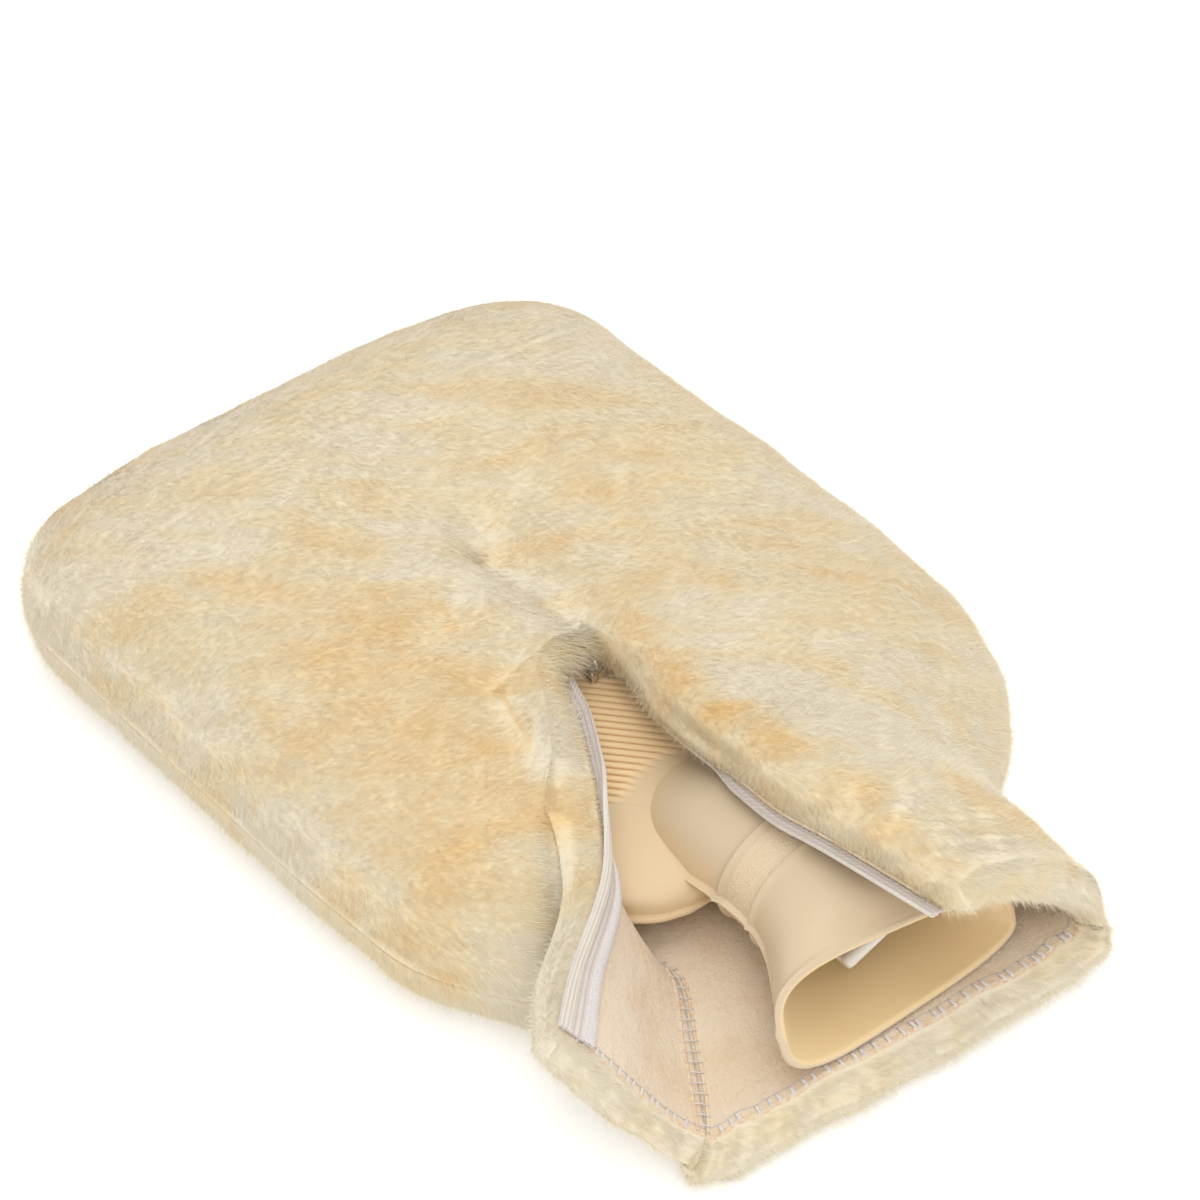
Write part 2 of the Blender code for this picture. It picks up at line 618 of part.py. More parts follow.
def zip_parts(home, cloth, plastic, metal):
    last = APEX - 3
    for name, side in (("left", LEFT), ("right", RIGHT)):
        strip("zip_tape_" + name, side, 0, last, 0.0, TAPE_WIDTH, TAPE_LIFT, TAPE_THICK, home, cloth)
        strip("zip_coil_" + name, side, 0, last, COIL_INSET, COIL_WIDTH, COIL_LIFT, COIL_THICK, home, plastic)

    bm = bmesh.new()
    bmesh.ops.create_cube(bm, size=1.0)
    bmesh.ops.scale(bm, vec=SLIDER_SIZE, verts=bm.verts)
    bmesh.ops.bevel(bm, geom=list(bm.edges), offset=0.9, segments=2, profile=0.5, affect="EDGES")
    bmesh.ops.translate(bm, vec=SLIDER_AT, verts=bm.verts)
    add_object("zip_slider", bm, home, metal)

    bm = bmesh.new()
    start, end = Vector(PULL_START), Vector(PULL_END)
    turn = (end - start).to_track_quat("Z", "Y").to_matrix()
    sides = 12
    rings = []
    for along, radius in PULL_PROFILE:
        ring = [(radius * math.cos(a), radius * math.sin(a), along)
                for a in (2 * math.pi * i / sides for i in range(sides))]
        rings.append([start + turn @ Vector(point) for point in ring])
    loft(bm, rings)
    add_object("zip_pull", bm, home, plastic)


def main():
    clear_scene()
    home, helpers = collection("hot_water_bottle_cover"), collection("helpers")
    wool = material("wool", WOOL, 0.95)
    rubber = material("rubber", RUBBER, 0.45)
    white = material("white_plastic", WHITE, 0.35)
    tape = material("zip_tape", WHITE, 0.85)
    metal = material("slider_metal", METAL, 0.3, 1.0)
    back_panel(home, wool)
    front_panel(home, wool)
    bottle(home, helpers, rubber)
    union(stopper(home, white), [stopper_plug(helpers, white)])
    zip_parts(home, tape, white, metal)


main()
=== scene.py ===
"""Sheepskin hot water bottle cover lying on its back, its zip open at the neck round a ribbed rubber bottle.

Every table is in millimetres. X runs across the cover, +Y to its closed end, +Z up. The two pelts are laid out
in sections from the mouth to the closed end, suede inside and clipped wool outside, then the wool, the
stitching, the zip and the bottle are built on them."""

import math

import bmesh
import bpy
import numpy as np
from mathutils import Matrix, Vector, kdtree


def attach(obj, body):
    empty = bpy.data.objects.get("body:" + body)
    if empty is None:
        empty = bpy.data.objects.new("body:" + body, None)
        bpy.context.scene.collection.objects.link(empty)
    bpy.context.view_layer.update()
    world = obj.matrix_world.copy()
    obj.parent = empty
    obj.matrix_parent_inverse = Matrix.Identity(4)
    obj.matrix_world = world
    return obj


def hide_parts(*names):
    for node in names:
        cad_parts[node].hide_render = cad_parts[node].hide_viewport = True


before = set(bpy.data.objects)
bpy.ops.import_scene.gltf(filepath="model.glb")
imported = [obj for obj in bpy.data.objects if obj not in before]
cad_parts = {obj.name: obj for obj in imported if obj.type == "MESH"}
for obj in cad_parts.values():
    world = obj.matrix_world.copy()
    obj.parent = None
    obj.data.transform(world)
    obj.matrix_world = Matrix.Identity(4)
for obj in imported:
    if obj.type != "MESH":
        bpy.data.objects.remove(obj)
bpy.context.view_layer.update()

MM = 0.001
bpy.ops.object.select_all(action="DESELECT")

# ---------------------------------------------------------------- the cover's cut and lie

SEAM_GAP = 0.3  # clearance between the front and the back along their seam
PILE = 18.0  # skin and clipped wool together
SEAM_Z = 26.0  # height of the side seam round the body
HALF_WIDTH = 106.0  # centre line to side seam
CORNER = 36.0  # radius of the seam at the closed end's corners
CLOSED_END = 160.0  # seam across the closed end
ROUND_FROM = 118.0  # where the body starts to come down to the closed end
CROWN = 49.0  # suede under the front's crown
FLOOR = 18.0  # suede on top of the back's wool
OVERHANG = 8.0  # wool that rolls past the mouth's cut ends
# Wool that rolls past the opening's edges, from the mouth to the opening's end: share of the way, mm.
EDGE_OVERHANG = {
    -1: ((0.0, 0.5, 0.76, 0.86, 1.0), (3.0, 1.5, 1.5, 8.0, 13.0)),
    1: ((0.0, 0.4, 0.6, 1.0), (0.0, 0.5, 2.5, 2.5)),
}
EDGE_SHARE = {-1: 0.75, 1: 0.15}  # most of the opening's width that each side's wool may cover
APEX_ROW = 7  # the row of the tables where the zip's opening ends
STEPS = 10  # sections made between two rows
END_STEPS = 20  # sections in the rounded closed end
ACROSS = 56  # faces from the seam to the opening's edge or the centre line
BACK_ACROSS = 32  # faces from the seam to the back's centre line
RIM_THIN = {-1: 0.0, 1: 0.66}  # how much thinner the wool is at the opening's two edges
RIM_ROUND = 14.0  # how far from those edges it starts to get thinner
ROLL_SPOTS = (0.04, 0.2, 0.4, 0.6, 0.8)  # where the rolled edge has points, from the suede to the wool
MOUTH_BULGE = 2.0  # how far the wool's first row stands out of the mouth
BOW, BOW_ROWS = 6.0, 7  # how far the back's cut end bows out, and over how many sections
TOP_Z = 50  # painted shade along creases and partings, and the golden rims, are only on wool above this

SEAM_COLUMNS = ("x", "y", "z", "wool_x", "wool_y")
SEAM_LEFT = (
    (-86, -166, 11, -98, -169),
    (-69, -140, 13, -81, -140),
    (-55, -114, 16, -67, -111),
    (-72, -97, 20, -83, -107),
    (-90, -86, 23, -101, -99),
    (-102, -63, 25, -119, -70),
    (-105, -36, 26, -123, -38),
    (-106, -10, 26, -124, -10),
    (-106, 22, 26, -124, 22),
    (-106, 52, 26, -124, 52),
    (-106, 86, 26, -124, 86),
    (-106, 118, 26, -124, 118),
)
SEAM_RIGHT = (
    (55, -180, 18, 66, -179),
    (56, -150, 18, 69, -150),
    (57, -124, 18, 68, -128),
    (80, -104, 20, 91, -114),
    (95, -86, 23, 107, -96),
    (103, -62, 25, 119, -68),
    (106, -36, 26, 123, -38),
    (106, -10, 26, 124, -10),
    (106, 22, 26, 124, 22),
    (106, 52, 26, 124, 52),
    (106, 86, 26, 124, 86),
    (106, 118, 26, 124, 118),
)
FLAP_COLUMNS = ("x", "y", "z", "seam_x", "seam_y", "seam_z", "edge_x", "edge_y", "edge_z",
                "mid_x", "mid_y", "mid_z", "top_x", "top_y", "top_z")
FLAP_LEFT = (
    (-113, -132, 47, -10, 12, 4, 12, -20, -13, -10, 6, -9, -4, 10, -13),
    (-98, -120, 52, -12, 8, 4, 16, -6, -14, -11, 7, -8, -7, 10, -11),
    (-70, -100, 56, -6, 5, 12, 6, -4, -16, -13, 2, 0, -9, 9, -5),
    (-51, -74, 59, -4, 3, 14, -8, -3, -12, -15, -7, 4, -14, 8, 5),
    (-41, -58, 58, -2, 0, 15, -18, -4, -11, -13, -8, 12, -13, 2, 11),
    (-30, -39, 56, 0, 0, 17, -26, -4, -9, -12, -2, 14, -12, 0, 13),
    (-20, -18, 53, 0, 0, 18, -38, -3, -5, -12, 0, 14, -8, 0, 15),
    (-4, -10, 49, 0, 0, 19, -62, 0, 1, -12, 0, 14, 0, 0, 16),
    (0, 22, 48, 0, 0, 20, -78, 0, 0, -12, 0, 14, 0, 0, 16),
    (1, 52, 48, 0, 0, 20, -80, 0, 0, -12, 0, 14, 0, 0, 16),
    (0, 86, 49, 0, 0, 20, -80, 0, 0, -12, 0, 14, 0, 0, 17),
    (0, 118, 49, 0, 0, 20, -80, 0, 0, -12, 0, 14, 0, 0, 17),
)
FLAP_RIGHT = (
    (-4, -178, 62, 0, 0, 8, 25, 0, -9, 9, 0, 14, 1, 0, 17),
    (-11, -140, 64, 2, 0, 10, 28, 0, -5, 9, 0, 14, 1, 0, 17),
    (-15, -119, 64, 4, 0, 12, 34, 0, -2, 10, -2, 14, 1, 0, 17),
    (-14, -98, 62.3, 2, 0, 13, 40, 0, 0, 11, -4, 13, 0, 0, 17),
    (-12.5, -82, 58.5, 1, 0, 16, 50, 0, 1, 12, -4, 13, 0, 0, 17),
    (-9.5, -58, 54.5, 0, 0, 18, 60, 0, 0, 12, -2, 14, 0, 0, 17),
    (-2.5, -31, 51, 0, 0, 19, 66, 0, 0, 12, 0, 14, 0, 0, 17),
    (-4, -10, 49, 0, 0, 20, 72, 0, 1, 12, 0, 14, 0, 0, 16),
    (0, 22, 48, 0, 0, 20, 78, 0, 0, 12, 0, 14, 0, 0, 16),
    (1, 52, 48, 0, 0, 20, 80, 0, 0, 12, 0, 14, 0, 0, 16),
    (0, 86, 49, 0, 0, 20, 80, 0, 0, 12, 0, 14, 0, 0, 17),
    (0, 118, 49, 0, 0, 20, 80, 0, 0, 12, 0, 14, 0, 0, 17),
)
# Soft troughs in the front's wool: from x, y to x, y, half width, depth.
TROUGHS = (
    (-9, -12, -8, 34, 6, 1.6),
    (-9, 40, -8, 44, 6, 1.6),
    (-22, -4, -17, 34, 9, -1.2),
    (-4, -8, 1, 46, 10, 3.0),
    (1, 49, 3, 51, 12, 2.6),
    (-46, 14, -8, 32, 12, 2.0),
    (-48, -18, -62, -64, 10, 3.0),
    (30, 60, 70, 20, 16, 1.5),
)
# Golden patches of the wool, pale ones below 0: x, y, z, radius along the lie, radius across it, strength.
GOLD = (
    (-84, -14, 58, 52, 44, 0.42),
    (-64, -62, 50, 22, 18, 0.42),
    (-66, 50, 62, 44, 26, 0.20),
    (-104, -66, 36, 18, 16, 0.30),
    (10, 30, 66, 15, 10, 0.34),
    (46, 35, 64, 24, 14, 0.26),
    (25, -14, 66, 20, 9, 0.26),
    (66, -17, 62, 22, 10, 0.24),
    (66, -46, 62, 34, 12, 0.20),
    (-8, -74, 72, 16, 7, 0.40),
    (-2, -110, 74, 24, 8, 0.34),
    (50, -101, 56, 26, 14, 0.12),
    (42, -150, 52, 22, 14, 0.30),
    (50, 84, 62, 60, 26, 0.12),
    (-118, -8, 32, 70, 18, -0.50),
    (-104, 38, 46, 24, 18, -0.22),
    (-112, 122, 42, 24, 24, -0.20),
    (-13, 28, 64, 24, 12, -0.22),
    (-14, -8, 66, 16, 10, -0.25),
    (-32, -42, 66, 22, 10, -0.30),
    (-52, -54, 66, 14, 11, -0.60),
    (-56, -28, 66, 16, 9, -0.20),
    (-70, -90, 62, 30, 12, -0.30),
    (-104, -120, 44, 30, 26, -0.28),
    (14, -112, 72, 36, 12, -0.30),
    (14, -80, 70, 20, 9, -0.25),
    (60, -120, 50, 30, 16, -0.20),
)
# Painted shade along creases in the wool, a deeper gold: from x, y to x, y, half width.
PAINTED_CREASE_SHADE = (
    (-34, 35, -39, 12, 0.8),
    (-45, -18, -54, -46, 0.8),
)
# The opening's edges, where the wool is more golden: from x, y to x, y, half width, strength.
RIMS = (
    (4, -16, -4, -58, 7, 0.42),
    (-4, -58, -7, -100, 7, 0.36),
    (-7, -100, -2, -172, 7, 0.25),
    (-62, -84, -82, -106, 7, 0.30),
)
# Painted shade where the wool parts, a greyer colour: from x, y to x, y, half width, strength.
PAINTED_SHADE_LINES = (
    (-9, 38, -7, 43, 3.2, 0.75),
    (-9, -8, -8, 34, 3.5, 0.16),
    (-46, -22, -53, -44, 0.9, 0.35),
    (1, 49, 5, 52, 7.0, 0.10),
)


def column(rows, columns, name):
    return np.array([row[columns.index(name)] for row in rows], float)


def smooth_rows(values, steps):
    """The values with a smooth curve's points between each two."""
    ends = np.concatenate([[2 * values[0] - values[1]], values, [2 * values[-1] - values[-2]]])
    out = []
    for i in range(len(values) - 1):
        a, b, c, d = ends[i:i + 4]
        for step in range(steps):
            t = step / steps
            out.append(b + 0.5 * t * (c - a + t * (2 * a - 5 * b + 4 * c - d + t * (3 * (b - c) + d - a))))
    out.append(values[-1])
    return np.array(out)


def table_curve(rows, columns, names, steps=STEPS):
    return np.stack([smooth_rows(column(rows, columns, name), steps) for name in names], axis=1)


def bezier(p0, p1, p2, p3, t):
    t = np.asarray(t)[:, None]
    return (1 - t) ** 3 * p0 + 3 * (1 - t) ** 2 * t * p1 + 3 * (1 - t) * t ** 2 * p2 + t ** 3 * p3


def lerp(a, b, t):
    return a + (b - a) * t


def unit(vector):
    return vector / max(np.linalg.norm(vector), 1e-9)


def units(vectors):
    return vectors / np.maximum(np.linalg.norm(vectors, axis=-1, keepdims=True), 1e-9)


def run_along(points):
    """The distance along a polyline at each of its points."""
    return np.concatenate([[0.0], np.cumsum(np.linalg.norm(np.diff(points, axis=0), axis=1))])


def turns(count):
    """So many even angles round a circle."""
    return [2 * math.pi * i / count for i in range(count)]


def corner_half_width(y, half, radius, end):
    past = max(0.0, y - (end - radius))
    return half - radius + math.sqrt(max(radius ** 2 - past ** 2, 0.0))


class Side:
    """One half of the cover: its seam, its opening's edge and the wool on it, a section for each station."""

    def __init__(self, seam_rows, flap_rows, sign):
        self.sign = sign
        self.seam = table_curve(seam_rows, SEAM_COLUMNS, ("x", "y", "z"))
        wool = table_curve(seam_rows, SEAM_COLUMNS, ("wool_x", "wool_y"))
        self.wool = np.column_stack([wool, self.seam[:, 2]])
        names = ("x", "y", "z"), ("seam_x", "seam_y", "seam_z"), ("edge_x", "edge_y", "edge_z")
        self.edge, self.seam_pull, self.edge_pull = (table_curve(flap_rows, FLAP_COLUMNS, n) for n in names)
        names = ("mid_x", "mid_y", "mid_z"), ("top_x", "top_y", "top_z")
        self.mid_wool, self.top_wool = (table_curve(flap_rows, FLAP_COLUMNS, n) for n in names)

    def skin(self, k, t):
        """Points on the suede at station k, from the seam at t = 0 to the edge at t = 1."""
        start, end = self.seam[k] + (0, 0, SEAM_GAP / 2), self.edge[k]
        return bezier(start, start + self.seam_pull[k], end + self.edge_pull[k], end, t)

    def depth(self, k, t):
        """The wool's depth as vectors, through the seam's, the middle's and the edge's."""
        t = np.asarray(t)[:, None]
        at_seam = self.wool[k] - self.seam[k]
        return (at_seam * (1 - t) * (1 - 2 * t) + self.mid_wool[k] * 4 * t * (1 - t)
                + self.top_wool[k] * t * (2 * t - 1))

    def past_edge(self, k):
        return unit(-self.edge_pull[k])

    def end_curve(self, angle, t, grow, top, level, steep):
        """Across the rounded closed end, grown outwards, at an angle from 0 where it starts to 90 at the seam."""
        y = lerp(ROUND_FROM, CLOSED_END + grow, math.sin(angle))
        half = corner_half_width(y, HALF_WIDTH + grow, CORNER + grow, CLOSED_END + grow)
        rise = (top - SEAM_Z) * math.cos(angle)
        start = np.array([self.sign * half, y, SEAM_Z + SEAM_GAP / 2])
        end = np.array([0.0, y, SEAM_Z + SEAM_GAP / 2 + rise])
        pull = np.array([self.sign * half * level, 0, 0])
        return bezier(start, start + (0, 0, rise * steep), end + pull, end, t)

    def end_skin(self, angle, t):
        return self.end_curve(angle, t, 0.0, CROWN, 0.76, 0.87)

    def end_wool(self, angle, t):
        return self.end_curve(angle, t, PILE, CROWN + self.top_wool[-1][2], 0.69, 0.85)


LEFT, RIGHT = Side(SEAM_LEFT, FLAP_LEFT, -1), Side(SEAM_RIGHT, FLAP_RIGHT, 1)
STATIONS = len(LEFT.seam)
APEX = APEX_ROW * STEPS
for one, other in ((LEFT.edge, RIGHT.edge), (LEFT.top_wool, RIGHT.top_wool)):
    one[APEX:] = other[APEX:] = (one[APEX:] + other[APEX:]) / 2


def opening_width(k):
    return float(np.linalg.norm(LEFT.edge[k] - RIGHT.edge[k]))


def beside(x, y, x0, y0, x1, y1, width):
    """1 on the line from x0, y0 to x1, y1, and down to 0 beside it."""
    run_x, run_y = x1 - x0, y1 - y0
    t = np.clip(((x - x0) * run_x + (y - y0) * run_y) / (run_x ** 2 + run_y ** 2), 0.0, 1.0)
    return np.exp(-(np.hypot(x - x0 - t * run_x, y - y0 - t * run_y) / width) ** 2)


def trough_depth(x, y):
    return sum(depth * beside(x, y, *line) for *line, depth in TROUGHS)


def unevenness(x, y):
    """The wool's slow rise and fall, about 1 mm either way."""
    return 0.6 * np.sin(x / 17.0 + 0.8) * np.cos(y / 21.0) + 0.5 * np.sin((x + 1.7 * y) / 29.0 + 2.0)


def spread(count):
    """Parameters from 0 to 1, closer together near 1, where the curves run fastest."""
    s = np.linspace(0.0, 1.0, count + 1)
    return 0.35 * s + 0.65 * np.sin(s * math.pi / 2)


def front_sections(side):
    """(suede, wool) points of each station on one side, the wool uneven and troughed."""
    t = spread(ACROSS)
    skins, wools = [], []
    for k in range(STATIONS - 1):
        skin = side.skin(k, t)
        from_edge = run_along(skin[::-1])[::-1]
        near = np.clip(1.0 - from_edge / RIM_ROUND, 0.0, 1.0)
        thin = RIM_THIN[side.sign] * max(1.0 - (k / APEX) ** 4, 0.0) * (1.0 - np.sqrt(1.0 - near ** 2))
        wool = skin + side.depth(k, t) * (1.0 - thin)[:, None]
        lowest = side.seam[k][2] + SEAM_GAP / 2 + 6.0 * np.minimum(t * 3, 1.0)
        wool[:, 2] = np.maximum(wool[:, 2], lowest)
        skins.append(skin)
        wools.append(wool)
    for step in range(END_STEPS + 1):
        angle = math.radians(90) * step / END_STEPS
        skins.append(side.end_skin(angle, t))
        wools.append(side.end_wool(angle, t))
    for k, wool in enumerate(wools):
        fade = 1.0 if k < STATIONS else math.cos(math.radians(90) * (k - STATIONS + 1) / END_STEPS)
        inside = np.minimum(t * 2.5, 1.0) * fade
        wool[:, 2] += inside * (unevenness(wool[:, 0], wool[:, 1]) - trough_depth(wool[:, 0], wool[:, 1]))
    return skins, wools


def back_sections():
    """(suede, wool) rows from the left seam to the right one, at the front's stations."""
    t = np.linspace(0.0, 1.0, BACK_ACROSS + 1) ** 1.3
    skins, wools = [], []

    def add(left, right, wool_left, wool_right, floor, bottom):
        halves = []
        for start, other, z_end, is_wool in ((left, right, floor, False), (right, left, floor, False),
                                             (wool_left, wool_right, bottom, True),
                                             (wool_right, wool_left, bottom, True)):
            start = start - (0, 0, SEAM_GAP / 2)
            centre = lerp(start, other, 0.5)
            centre[2] = z_end
            drop = start[2] - z_end
            reach = (start - centre) * (0.92 if is_wool else 0.8)
            reach[2] = 0.0
            half = bezier(start, start - (0, 0, max(drop, 0.0) * 0.97), centre + reach, centre, t)
            if is_wool:
                half[:, 2] = np.where(t > 0.45, 0.0, half[:, 2])
            halves.append(half)
        skins.append(np.concatenate([halves[0], halves[1][-2::-1]]))
        wools.append(np.concatenate([halves[2], halves[3][-2::-1]]))

    for k in range(STATIONS - 1):
        add(LEFT.seam[k], RIGHT.seam[k], LEFT.wool[k], RIGHT.wool[k], FLOOR - 0.6, 0.0)
    for step in range(END_STEPS + 1):
        angle = math.radians(90) * step / END_STEPS
        seam_y, wool_y = (lerp(ROUND_FROM, end, math.sin(angle)) for end in (CLOSED_END, CLOSED_END + PILE))
        seam_half = corner_half_width(seam_y, HALF_WIDTH, CORNER, CLOSED_END)
        wool_half = corner_half_width(wool_y, HALF_WIDTH + PILE, CORNER + PILE, CLOSED_END + PILE)
        floor = SEAM_Z - SEAM_GAP / 2 - (SEAM_Z - FLOOR) * math.cos(angle)
        bottom = (SEAM_Z - SEAM_GAP / 2) * (1 - math.cos(angle) ** 0.6)
        seams = [np.array([sign * seam_half, seam_y, SEAM_Z]) for sign in (-1, 1)]
        outlines = [np.array([sign * wool_half, wool_y, SEAM_Z]) for sign in (-1, 1)]
        add(*seams, *outlines, floor, bottom)
        wools[-1][:, 2] = np.maximum(wools[-1][:, 2], bottom)
    return skins, wools


def level_way(here, further):
    """The level direction out of the mouth."""
    away = here - further
    away[2] = 0.0
    return unit(away)


def rolled(skin_end, wool_end, way, past):
    """Points of a cut edge's rounded wool, from just past the suede to the wool's surface."""
    middle = lerp(skin_end, wool_end, 0.5) + 2 * past * way
    return [(1 - u) ** 2 * skin_end + 2 * u * (1 - u) * middle + u ** 2 * wool_end for u in ROLL_SPOTS]


# ---------------------------------------------------------------- meshes from rows of points

SUEDE, WOOL, RAW = 0, 1, 2


def verts_of(bm, points):
    return [bm.verts.new(Vector(point) * MM) for point in points]


def grid_faces(bm, rows, look=0, first_look=None):
    """Quads between neighbouring rows of vertices. first_look goes on the first strip."""
    for i, (first, second) in enumerate(zip(rows, rows[1:])):
        for j in range(len(first) - 1):
            corners = [first[j], first[j + 1], second[j + 1], second[j]]
            if len(set(corners)) > 2:
                face = bm.faces.new([v for n, v in enumerate(corners) if v not in corners[:n]])
                face.material_index = first_look if first_look is not None and i == 0 else look


def mesh_of(name, bm, merge=1e-6):
    """The mesh, with its doubles merged and its faces outwards."""
    bmesh.ops.remove_doubles(bm, verts=bm.verts, dist=merge)
    bmesh.ops.recalc_face_normals(bm, faces=bm.faces)
    mesh = bpy.data.meshes.new(name)
    bm.to_mesh(mesh)
    bm.free()
    return mesh


def new_object(name, data):
    obj = bpy.data.objects.new(name, data)
    bpy.context.scene.collection.objects.link(obj)
    return obj


def piece(name, bm, looks, body="cover", sharp=None, merge=1e-6):
    """One closed piece with its finishes, on its body."""
    mesh = mesh_of(name, bm, merge)
    for look in looks:
        mesh.materials.append(look)
    mesh.shade_smooth()
    if sharp:
        mesh.set_sharp_from_angle(angle=math.radians(sharp))
    obj = new_object(name, mesh)
    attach(obj, body)
    return obj


def front_half(bm, side):
    skins, wools = front_sections(side)
    skin_rows = [verts_of(bm, row) for row in skins]
    ways = [level_way(skins[0][j], skins[1][j]) for j in range(ACROSS + 1)]
    first_wool = wools[0] + MOUTH_BULGE * np.array(ways)
    wool_rows = [verts_of(bm, row) for row in [first_wool] + wools[1:]]
    grid_faces(bm, skin_rows, SUEDE)
    grid_faces(bm, wool_rows, WOOL)
    grid_faces(bm, [[row[0] for row in skin_rows], [row[0] for row in wool_rows]], SUEDE)
    grid_faces(bm, [skin_rows[-1], wool_rows[-1]], SUEDE)
    rolls = []
    for k in range(APEX + 1):
        if k == APEX:
            points = [lerp(skins[k][-1], wools[k][-1], u) for u in ROLL_SPOTS]
        else:
            way = side.past_edge(k)
            past = min(np.interp(k / APEX, *EDGE_OVERHANG[side.sign]), EDGE_SHARE[side.sign] * opening_width(k))
            if k < 3:
                way = unit(way + ways[-1] * (1 - k / 3))
            points = rolled(skins[k][-1], wools[k][-1], way, past)
        rolls.append([skin_rows[k][-1]] + verts_of(bm, points) + [wool_rows[k][-1]])
    across = list(zip(*rolls))
    grid_faces(bm, across, WOOL, RAW)
    caps = [[skin_rows[0][j]] + verts_of(bm, rolled(skins[0][j], wools[0][j], ways[j], OVERHANG))
            + [wool_rows[0][j]] for j in range(ACROSS)] + [rolls[0]]
    grid_faces(bm, list(zip(*caps)), WOOL, RAW)
    bm.faces.new(caps[0]).material_index = WOOL


def front_pelt(looks):
    bm = bmesh.new()
    front_half(bm, LEFT)
    front_half(bm, RIGHT)
    return piece("front_pelt", bm, looks, sharp=60)


def bowed_back():
    """The back's sections, with the cut end bowed and waved outwards, and the ways out of that end."""
    skins, wools = back_sections()
    ways = np.array([level_way(*pair) for pair in zip(skins[0], skins[1])])
    share = np.linspace(0.0, 1.0, len(ways))
    bow = BOW * np.sin(math.pi * share) ** 1.2 + 0.6 * np.sin(share * 41.0) + 0.35 * np.sin(share * 83.0 + 1.0)
    for k in range(BOW_ROWS):
        fade = (1.0 - k / BOW_ROWS) ** 2
        skins[k] += (bow * fade)[:, None] * ways
        wools[k] += (bow * fade)[:, None] * ways
    return skins, wools, ways


def back_pelt(looks):
    bm = bmesh.new()
    skins, wools, ways = bowed_back()
    skin_rows = [verts_of(bm, row) for row in skins]
    wool_rows = [verts_of(bm, row) for row in [wools[0] + MOUTH_BULGE * ways] + wools[1:]]
    grid_faces(bm, skin_rows, SUEDE)
    grid_faces(bm, wool_rows, WOOL)
    for j in (0, -1):
        grid_faces(bm, [[row[j] for row in skin_rows], [row[j] for row in wool_rows]], SUEDE)
    grid_faces(bm, [skin_rows[-1], wool_rows[-1]], SUEDE)
    caps = [[skin_rows[0][j]] + verts_of(bm, rolled(skins[0][j], wools[0][j], ways[j], OVERHANG))
            + [wool_rows[0][j]] for j in range(len(ways))]
    grid_faces(bm, list(zip(*caps)), WOOL, RAW)
    for cap in (caps[0], caps[-1]):
        bm.faces.new(cap).material_index = WOOL
    return piece("back_pelt", bm, looks, sharp=60)


# ---------------------------------------------------------------- finishes

LIE = np.array([0.77, -0.64])  # the way the wool is combed, level
LIE_TURN = math.atan2(LIE[1], LIE[0])


def new_material(name, roughness=0.9, **sockets):
    made = bpy.data.materials.new(name)
    made.use_nodes = True
    shader = made.node_tree.nodes["Principled BSDF"]
    shader.inputs["Roughness"].default_value = roughness
    for key, value in sockets.items():
        shader.inputs[key.replace("_", " ")].default_value = value
    return made, made.node_tree, shader


def link(tree, out, into):
    tree.links.new(out, into)


def node(tree, kind, **values):
    made = tree.nodes.new(kind)
    for key, value in values.items():
        if key in made.inputs:
            made.inputs[key].default_value = value
        else:
            setattr(made, key, value)
    return made


def noise_of(tree, coords, scale, detail=3.0, rough=0.55, stretch=None, turn=0.0, swirl=0.0):
    """A noise on the coordinates, turned about Z and stretched if asked."""
    if stretch:
        mapping = node(tree, "ShaderNodeMapping", vector_type="TEXTURE")
        mapping.inputs["Scale"].default_value = stretch
        mapping.inputs["Rotation"].default_value = (0, 0, turn)
        link(tree, coords, mapping.inputs["Vector"])
        coords = mapping.outputs["Vector"]
    made = node(tree, "ShaderNodeTexNoise", Scale=scale, Detail=detail, Roughness=rough, Distortion=swirl)
    link(tree, coords, made.inputs["Vector"])
    return made.outputs["Fac"]


def ramp(tree, value, stops):
    made = tree.nodes.new("ShaderNodeValToRGB")
    elements = made.color_ramp.elements
    while len(elements) < len(stops):
        elements.new(0.5)
    for element, (place, colour) in zip(elements, stops):
        element.position = place
        element.color = (*colour, 1.0)
    link(tree, value, made.inputs["Fac"])
    return made.outputs["Color"]


def grey(level):
    return (level, level, level)


def mix(tree, factor, a, b):
    made = tree.nodes.new("ShaderNodeMix")
    made.data_type = "RGBA"
    for value, socket in ((factor, made.inputs[0]), (a, made.inputs[6]), (b, made.inputs[7])):
        if isinstance(value, bpy.types.NodeSocket):
            link(tree, value, socket)
        else:
            socket.default_value = value if socket.type == "VALUE" else (*value, 1.0)
    return made.outputs[2]


def maths(tree, operation, *values, clamp=False):
    made = tree.nodes.new("ShaderNodeMath")
    made.operation = operation
    made.use_clamp = clamp
    for value, socket in zip(values, made.inputs):
        if isinstance(value, bpy.types.NodeSocket):
            link(tree, value, socket)
        else:
            socket.default_value = value
    return made.outputs[0]


def bump(tree, shader, height, distance, strength=1.0):
    made = node(tree, "ShaderNodeBump", Strength=strength, Distance=distance)
    link(tree, height, made.inputs["Height"])
    link(tree, made.outputs["Normal"], shader.inputs["Normal"])


def attribute(tree, name):
    return node(tree, "ShaderNodeAttribute", attribute_name=name).outputs["Fac"]


def object_coords(tree):
    return tree.nodes.new("ShaderNodeTexCoord").outputs["Object"]


